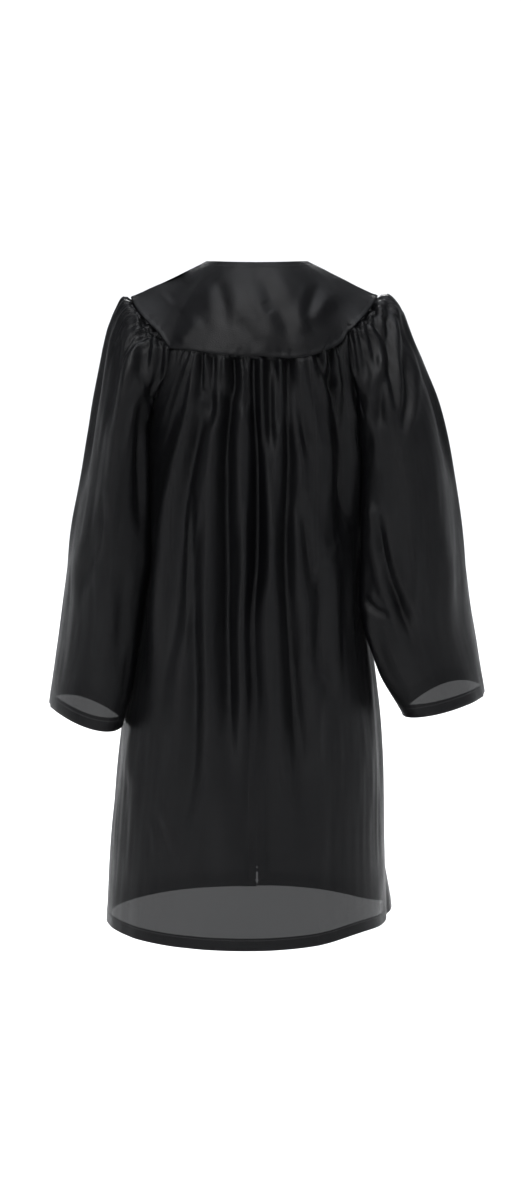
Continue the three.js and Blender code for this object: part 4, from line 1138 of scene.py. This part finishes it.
def front_yoke_sheet(side):
    shoulder = np.linspace(0, 1, YOKE_GRID["shoulder"] + 1)
    across = np.linspace(0, 1, YOKE_GRID["front"] + 1)[1:]
    upper, lower = shoulder_points(side, "front", 1 - shoulder), front_points(side, across, 0 * across)
    edge = np.concatenate([upper, lower])
    start = YOKE_SHOULDER["front"]
    share = np.concatenate([shoulder * start, mix(start, 1, across)])
    neck = neck_points(side, "front", share)
    bulge = mix(YOKE_BULGE["shoulder"], YOKE_BULGE["front"], np.sin(np.pi * share)) * (1 - share**YOKE_FLAT)
    rng = np.random.default_rng(SEED + 6 + (side == "right"))
    return yoke_sheet(neck, edge, bulge, FRONT_YOKE_CREASES[side], rng)


def sleeve_sheet(side, props):
    rng = np.random.default_rng(SEED + 3 + (side == "right"))
    make = SLEEVE_GRID
    turn = np.arange(make["columns"]) / make["columns"]
    rings = len(SLEEVE_RINGS[side]) + 1
    steps = np.linspace(0, rings, make["rows"] + 1)
    points = sleeve_points(side, turn, steps)
    normals = grid_normals(points, True, points - points.mean(axis=1, keepdims=True))
    down = run_down(points)
    share = down / down[-1]
    loop_steps = np.linalg.norm(np.roll(points[0], -1, axis=0) - points[0], axis=-1)
    seam = np.concatenate([[0], np.cumsum(loop_steps)[:-1]]) + 0 * down
    around = turn + 0 * down
    from_top = np.abs((around + 0.5) % 1 - 0.5) * 360
    begin, over = FACING["across"]
    rear = ease((normals[..., 1] - begin) / over)
    ahead = ease((-normals[..., 1] - begin) / over)
    begin, over = FACING["outer"]
    outer = ease((SIDE_SIGN[side] * normals[..., 0] - begin) / over) * (1 - rear) * (1 - ahead)
    seen = SLEEVE_CREASES[side]
    depth = rear * crease_depth(points[..., 0], points[..., 2], seen["back"])
    depth += ahead * crease_depth(points[..., 0], points[..., 2], seen["front"])
    depth += outer * crease_depth(points[..., 1], points[..., 2], seen["outer"])
    past_yoke = from_top - RING_CORNER
    gathers = gather_depth(rng, seam, down, "sleeve", props.gathers)
    depth += gathers * (1 - ease((past_yoke + SLEEVE_GATHERS["before"]) / SLEEVE_GATHERS["over"]))
    wrap = ease(np.minimum(around, 1 - around) / SLEEVE_JOIN)
    depth += wrap * low_waves(rng, around, share, "sleeve", "sleeve")
    fade = SLEEVE_FADE
    depth *= 1 - fade["share"] * ease((share - fade["from"]) / (1 - fade["from"]))
    depth *= 1 - fade["under"] * ease((from_top - fade["under_from"]) / fade["under_over"])
    depth += TUCK["depth"] * (1 - ease(down / TUCK["height"])) * (1 - ease(past_yoke / SLEEVE_TUCK_OVER))
    return points - depth[..., None] * normals, np.stack([around * SLEEVE_GIRTH, down], axis=-1)


# Stitching and zip


def tube_faces(base, stations, sides, flipped=False):
    """The faces of a tube whose rings of vertices start at base."""
    faces = []
    for ring in range(base, base + (stations - 1) * sides, sides):
        for k in range(sides):
            a, b = ring + k, ring + (k + 1) % sides
            faces.append((a + sides, b + sides, b, a) if flipped else (a, b, b + sides, a + sides))
    return faces


def stitch_line(line, normals, length):
    """Vertices and faces of a row of stitches along a line on the cloth."""
    run = np.concatenate([[0], np.cumsum(np.linalg.norm(np.diff(line, axis=0), axis=1))])
    vertices, faces = [], []
    sides, stations = len(STITCH_RING), len(STITCH_LENGTHS)
    for start in np.arange(0.5 * STITCH["pitch"], run[-1] - STITCH["pitch"], STITCH["pitch"]):
        at = start + length * np.array(STITCH_LENGTHS)
        centre = np.stack([np.interp(at, run, line[:, k]) for k in range(3)], axis=-1)
        out = unit(np.stack([np.interp(at, run, normals[:, k]) for k in range(3)], axis=-1))
        side = unit(np.cross(out, centre[-1] - centre[0]))
        size = STITCH["radius"] * np.array(STITCH_SIZES)
        lift = STITCH["radius"] * np.array(STITCH_LIFTS)
        base = len(vertices)
        for k in range(stations):
            for a, b in STITCH_RING:
                vertices.append(centre[k] + side[k] * a * size[k] + out[k] * (b * size[k] + lift[k]))
        faces += tube_faces(base, stations, sides)
        end = base + (stations - 1) * sides
        faces.append(tuple(reversed(range(base, base + sides))))
        faces.append(tuple(range(end, end + sides)))
    return vertices, faces


def row_above_edge(points, normals, distance):
    """The line on the cloth at a distance from its last row, with the normals along it."""
    ordered, facing = points[::-1], normals[::-1]
    run = run_down(ordered)
    line = np.empty((points.shape[1], 3))
    out = np.empty_like(line)
    for c in range(points.shape[1]):
        for k in range(3):
            line[c, k] = np.interp(distance, run[:, c], ordered[:, c, k])
            out[c, k] = np.interp(distance, run[:, c], facing[:, c, k])
    return line, unit(out)


# The zip's tapes and coil, which lie behind the fronts
TAPE = {"inner": 0.9, "outer": 8.9, "columns": 6, "rows": 120, "behind": 1.75, "top": -78.6, "bottom": -655}
TAPE_EDGE = {"dip": 0.25, "width": 1.2}
COIL = {"pitch": 1.5, "half": 2.1, "radius": 0.42, "behind": 0.05, "top": -87.6, "bottom": -641.4}
COIL_SIDES = 6
# A loop of the coil: its distance across as a share of the half width, how far back it lies and its thickness
COIL_LOOP = ((1, 0.35, 0.6), (0.8, 0, 1), (0, -0.1, 1), (-0.55, 0.1, 1.15), (-0.8, 0.3, 0.5))


def front_surface_y(x, z):
    """How far back the unfolded front cloth lies beside the zip; above the yoke's seam it runs straight."""
    z = np.asarray(z, float)
    seam_z = np.minimum(z, FRONT_SEAM_Z)
    y = torso(torso_angle(x, seam_z, "front"), seam_z)[..., 1]
    top_y = NECK["front"][-1][1] + y - torso(torso_angle(ZIP_GAP, seam_z, "front"), seam_z)[..., 1]
    share = np.clip((NECK_FRONT_Z - z) / (NECK_FRONT_Z - FRONT_SEAM_Z), 0, 1)
    return mix(top_y, y, share)


def tape_sheet(side):
    out = np.linspace(TAPE["inner"], TAPE["outer"], TAPE["columns"])
    z = np.linspace(TAPE["top"], TAPE["bottom"], TAPE["rows"])
    across, level = np.meshgrid(out, z)
    y = front_surface_y(across, level) + TAPE["behind"]
    points = np.stack([SIDE_SIGN[side] * across, y, level], axis=-1)
    points[..., 1] += TAPE_EDGE["dip"] * bell(across - TAPE["outer"], TAPE_EDGE["width"])
    normals = grid_normals(points, False, points * LEVEL)
    return points, normals, np.stack([across, TAPE["top"] - level], axis=-1)


def coil_solid():
    """The closed coil: loops from the two tapes that alternate down the middle."""
    vertices, faces = [], []
    turns = [2 * math.pi * k / COIL_SIDES for k in range(COIL_SIDES)]
    for i in range(int((COIL["top"] - COIL["bottom"]) / COIL["pitch"])):
        for sign in (1, -1):
            level = COIL["top"] - (i + (0.25 if sign > 0 else 0.75)) * COIL["pitch"]
            y = float(front_surface_y(0.0, level)) + COIL["behind"]
            base = len(vertices)
            for across, back, size in COIL_LOOP:
                radius = COIL["radius"] * size
                for angle in turns:
                    around = (y + back + radius * math.sin(angle), level + radius * math.cos(angle))
                    vertices.append((sign * COIL["half"] * across, *around))
            faces += tube_faces(base, len(COIL_LOOP), COIL_SIDES, sign > 0)
    return vertices, faces


# Stage, in metres

CAMERA = {
    "place": (0.0, 3.835, 0.268),
    "aim": (0.0, 0.0, -0.338),
    "lens": 115.5,
    "shift": (0.00333, -0.00282),
    "far": 3000,
}
FLOOR = {"z": -0.933, "half": 1200.0, "squares": 12}
# Softboxes: name, place, size, power and what they are turned to
LIGHTS = (
    ("shoulders", (0.1, 2.1, 2.5), 2.3, 92, (0, 0, -0.1)),
    ("key", (1.9, 3.0, 1.5), 1.7, 60, (0, 0, -0.3)),
    ("fill", (-2.8, 2.0, 0.8), 1.0, 8, (0, 0, -0.3)),
    ("front", (0.0, -3.4, 1.2), 0.9, 32, (0, 0, -0.3)),
)
CEILING = {"strength": 2.3, "spread": 60, "colour": "#f7faff"}
SURROUND_COLOUR = "#f2f4f8"

STITCHED = {}  # each piece's line to stitch, and the cloth's normals along it


def pointed(made, place, aim):
    """Adds a camera or a light at a place, turned to what it aims at."""
    made.location = place
    made.rotation_euler = (Vector(aim) - Vector(place)).to_track_quat("-Z", "Y").to_euler()
    bpy.context.scene.collection.objects.link(made)
    return made


class GownCloth(bpy.types.PropertyGroup):
    colour: bpy.props.FloatVectorProperty(
        name="Cloth colour",
        description="Colour of the satin where a float lies flat",
        subtype="COLOR",
        size=3,
        min=0,
        max=1,
        default=linear("#08080a")[:3],
    )
    opacity: bpy.props.FloatProperty(
        name="Opacity of one layer",
        description="Share of the light that one layer of the cloth stops",
        subtype="FACTOR",
        min=0,
        max=1,
        default=0.95,
    )
    roughness: bpy.props.FloatProperty(
        name="Roughness",
        description="Spread of the satin's gloss",
        subtype="FACTOR",
        min=0,
        max=1,
        default=0.35,
    )
    thread_spacing: bpy.props.FloatProperty(
        name="Thread spacing",
        description="Distance at which the weave is drawn",
        subtype="DISTANCE",
        unit="LENGTH",
        default=1.1 * MM,
    )
    hem_turn: bpy.props.FloatProperty(
        name="Hem turn",
        description="How far the hem and the cuffs are turned up",
        subtype="DISTANCE",
        unit="LENGTH",
        default=HEM["turn"] * MM,
    )
    stitch_length: bpy.props.FloatProperty(
        name="Stitch length",
        description="Length of thread that shows at each stitch",
        subtype="DISTANCE",
        unit="LENGTH",
        default=2.4 * MM,
    )
    zip_colour: bpy.props.FloatVectorProperty(
        name="Zip colour",
        description="Colour of the paint on the zip's slider, tab and stop",
        subtype="COLOR",
        size=3,
        min=0,
        max=1,
        default=linear("#121214")[:3],
    )
    edge_rounding: bpy.props.FloatProperty(
        name="Zip edge rounding",
        description="Width of the rounded edges of the zip's slider, tab and stop",
        subtype="DISTANCE",
        unit="LENGTH",
        default=0.15 * MM,
    )
    gathers: bpy.props.FloatProperty(
        name="Gathers",
        description="Depth of the small gathers at the seams, as a share of the usual depth",
        subtype="FACTOR",
        min=0,
        max=2,
        default=1,
    )


class GownStage(bpy.types.PropertyGroup):
    floor_colour: bpy.props.FloatVectorProperty(
        name="Floor colour",
        description="Colour of the studio floor",
        subtype="COLOR",
        size=3,
        min=0,
        max=1,
        default=linear("#f4f4f3")[:3],
    )
    light: bpy.props.FloatProperty(
        name="Light",
        description="Strength of all studio lights",
        min=0,
        default=1,
    )
    surround: bpy.props.FloatProperty(
        name="Surround",
        description="Strength of the pale surround",
        min=0,
        default=0.42,
    )


class GOWN_OT_yoke(bpy.types.Operator):
    """Make the smooth yoke, with its neck edge and seam edges turned under"""

    bl_idname = "gown.yoke"
    bl_label = "Yoke"

    def execute(self, context):
        cloth = satin(context, layers=2)
        yokes = {"back_yoke": back_yoke_sheet()}
        cuts = {"back_yoke": {"flat": (0.30, 0.13), "area": 0.0275}}
        for side in SIDE_SIGN:
            yokes[f"front_yoke_{side}"] = front_yoke_sheet(side)
            cuts[f"front_yoke_{side}"] = {"flat": (0.155, 0.13), "area": 0.0125}
        for node, (points, cut) in yokes.items():
            normals = grid_normals(points, False, up_from_body(points))
            sheet = turned_under(points, normals, cut, **YOKE_EDGE)
            reverse = tuple(part[::-1] for part in sheet)
            sheet = turned_under(*reverse, turn=EDGE["turn"], gap=EDGE["gap"])
            if node != "back_yoke":
                sheet = sideways(turned_under(*sideways(sheet), **ZIP_EDGE))
            made = cloth_object(f"{node}_cloth", sheet)
            seated(made, node, "cloth", cloth, held="hung", **cuts[node])
            STITCHED[node] = row_above_edge(points[::-1], normals[::-1], EDGE["stitch"])
        return {"FINISHED"}


class GOWN_OT_back_panel(bpy.types.Operator):
    """Make the gathered back panel, with its hem turned up"""

    bl_idname = "gown.back_panel"
    bl_label = "Back panel"

    def execute(self, context):
        props = context.scene.gown_cloth
        points, cut = back_sheet(props)
        normals = grid_normals(points, False, points * LEVEL)
        sheet, STITCHED["back_panel"] = hemmed(points, normals, cut, props)
        sheet = tucked(*sheet, **ALLOWANCE["top"])
        for _ in range(2):
            sheet = sideways(tucked(*sideways(sheet), **ALLOWANCE["side"]))
            sheet = tuple(part[:, ::-1] for part in sheet)
        made = cloth_object("back_panel_cloth", sheet)
        held = {"held": "gathered", "rests_on": ["back_yoke_cloth"]}
        seated(made, "back_panel", "cloth", satin(context), flat=(0.36, 0.61), **held)
        return {"FINISHED"}


class GOWN_OT_front_panels(bpy.types.Operator):
    """Make the two gathered fronts, with their hems and zip edges turned under"""

    bl_idname = "gown.front_panels"
    bl_label = "Front panels"

    def execute(self, context):
        props, cloth = context.scene.gown_cloth, satin(context)
        for side in SIDE_SIGN:
            node = f"front_panel_{side}"
            points, cut = front_sheet(side, props)
            normals = grid_normals(points, False, points * LEVEL)
            sheet, STITCHED[node] = hemmed(points, normals, cut, props)
            sheet = tucked(*sheet, **ALLOWANCE["top"])
            sheet = sideways(turned_under(*sideways(sheet), **ZIP_EDGE))
            made = cloth_object(f"{node}_cloth", sheet)
            held = {"held": "gathered", "rests_on": [f"front_yoke_{side}_cloth"]}
            seated(made, node, "cloth", cloth, flat=(0.19, 0.60), **held)
        return {"FINISHED"}


class GOWN_OT_sleeves(bpy.types.Operator):
    """Make the two bell sleeves, gathered at the armhole and turned up at the cuff"""

    bl_idname = "gown.sleeves"
    bl_label = "Sleeves"

    def execute(self, context):
        props, cloth = context.scene.gown_cloth, satin(context)
        for side in SIDE_SIGN:
            node = f"sleeve_{side}"
            points, cut = sleeve_sheet(side, props)
            normals = grid_normals(points, True, points - points.mean(axis=1, keepdims=True))
            sheet, (line, out) = hemmed(points, normals, cut, props)
            STITCHED[node] = np.concatenate([line, line[:1]]), np.concatenate([out, out[:1]])
            sheet = tucked(*sheet, **ALLOWANCE["sleeve"])
            made = cloth_object(f"{node}_cloth", sheet, closed=True)
            held = {"held": "gathered", "rests_on": ["back_yoke_cloth", f"front_yoke_{side}_cloth"]}
            seated(made, node, "cloth", cloth, flat=(0.38, 0.45), area=0.15, **held)
        return {"FINISHED"}


class GOWN_OT_stitching(bpy.types.Operator):
    """Sew the hems, the cuffs and the neck edge"""

    bl_idname = "gown.stitching"
    bl_label = "Stitching"

    def execute(self, context):
        vertices, faces = [], []
        length = in_mm(context.scene.gown_cloth.stitch_length)
        for line, out in STITCHED.values():
            new_vertices, new_faces = stitch_line(line, out, length)
            faces.extend(tuple(k + len(vertices) for k in face) for face in new_faces)
            vertices.extend(new_vertices)
        made = solid_object("stitches", vertices, faces)
        made.data.materials.append(spun_polyester_thread())
        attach(made, "gown")
        return {"FINISHED"}


class GOWN_OT_zip(bpy.types.Operator):
    """Make the zip's tapes and closed coil, and finish its slider, tab and stop"""

    bl_idname = "gown.zip"
    bl_label = "Zip"

    def execute(self, context):
        props = context.scene.gown_cloth
        tape, paint = woven_zip_tape(), painted_zinc_alloy(props)
        for side in SIDE_SIGN:
            made = cloth_object(f"zip_tape_{side}_woven", tape_sheet(side))
            held = {"held": "stretched", "rests_on": [f"front_panel_{side}_cloth"]}
            seated(made, f"zip_tape_{side}", "zip_tape", tape, flat=(0.0101, 0.58), **held)
        vertices, faces = coil_solid()
        coil = solid_object("zip_coil", vertices, faces)
        seated(coil, "zip_teeth", "zip_teeth", drawn_polyester_coil())
        for name in ("zip_slider", "zip_pull_tab", "zip_stop"):
            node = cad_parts[name]
            node.data.materials.clear()
            node.data.materials.append(paint)
            bevel = node.modifiers.new("rounded_edges", "BEVEL")
            bevel.width = props.edge_rounding
            bevel.segments = 2
            bevel.limit_method = "ANGLE"
        return {"FINISHED"}


class GOWN_OT_stage(bpy.types.Operator):
    """Set up the camera, the pale floor and the soft studio light"""

    bl_idname = "gown.stage"
    bl_label = "Stage"

    def execute(self, context):
        props = context.scene.gown_stage
        camera = bpy.data.cameras.new("photo_camera")
        camera.lens = CAMERA["lens"]
        camera.shift_x, camera.shift_y = CAMERA["shift"]
        camera.clip_end = CAMERA["far"]
        held = bpy.data.objects.new("photo_camera", camera)
        context.scene.camera = pointed(held, CAMERA["place"], CAMERA["aim"])
        mesh = bpy.data.meshes.new("floor")
        squares = FLOOR["squares"]
        steps = np.linspace(-FLOOR["half"], FLOOR["half"], squares + 1)
        corners = [(x, y, FLOOR["z"]) for y in steps for x in steps]
        first = [row * (squares + 1) + column for row in range(squares) for column in range(squares)]
        mesh.from_pydata(corners, [], [(k, k + 1, k + squares + 2, k + squares + 1) for k in first])
        mesh.materials.append(matt_paper_floor(props))
        floor = bpy.data.objects.new("floor", mesh)
        context.scene.collection.objects.link(floor)
        for name, place, size, power, aim in LIGHTS:
            light = bpy.data.lights.new(name, "AREA")
            light.shape = "DISK"
            light.size = size
            light.energy = power * props.light
            pointed(bpy.data.objects.new(name, light), place, aim)
        ceiling = bpy.data.lights.new("ceiling", "SUN")
        ceiling.energy = CEILING["strength"] * props.light
        ceiling.color = linear(CEILING["colour"])[:3]
        ceiling.angle = math.radians(CEILING["spread"])
        pointed(bpy.data.objects.new("ceiling", ceiling), (0, 0, 3), (0, 0, 0))
        world = bpy.data.worlds.new("pale_surround")
        world.use_nodes = True
        surround = world.node_tree.nodes["Background"]
        surround.inputs["Color"].default_value = linear(SURROUND_COLOUR)
        surround.inputs["Strength"].default_value = props.surround
        context.scene.world = world
        context.scene.view_settings.view_transform = "Standard"
        context.scene.view_settings.look = "Medium High Contrast"
        return {"FINISHED"}


OPERATORS = (
    GOWN_OT_stage,
    GOWN_OT_yoke,
    GOWN_OT_back_panel,
    GOWN_OT_front_panels,
    GOWN_OT_sleeves,
    GOWN_OT_zip,
    GOWN_OT_stitching,
)


class GOWN_PT_panel(bpy.types.Panel):
    """Lists the gown's pieces and its settings"""

    bl_label = "Gown"
    bl_idname = "GOWN_PT_panel"
    bl_space_type = "VIEW_3D"
    bl_region_type = "UI"
    bl_category = "Gown"

    def draw(self, context):
        for group in (context.scene.gown_cloth, context.scene.gown_stage):
            for name in group.__annotations__:
                self.layout.prop(group, name)
        for operator in OPERATORS:
            self.layout.operator(operator.bl_idname)


CLASSES = (GownCloth, GownStage, *OPERATORS, GOWN_PT_panel)


def register():
    for made in CLASSES:
        bpy.utils.register_class(made)
    bpy.types.Scene.gown_cloth = bpy.props.PointerProperty(type=GownCloth)
    bpy.types.Scene.gown_stage = bpy.props.PointerProperty(type=GownStage)


def unregister():
    del bpy.types.Scene.gown_stage
    del bpy.types.Scene.gown_cloth
    for made in reversed(CLASSES):
        bpy.utils.unregister_class(made)


def main():
    register()
    for operator in OPERATORS:
        family, name = operator.bl_idname.split(".")
        getattr(getattr(bpy.ops, family), name)()


if __name__ == "__main__":
    main()
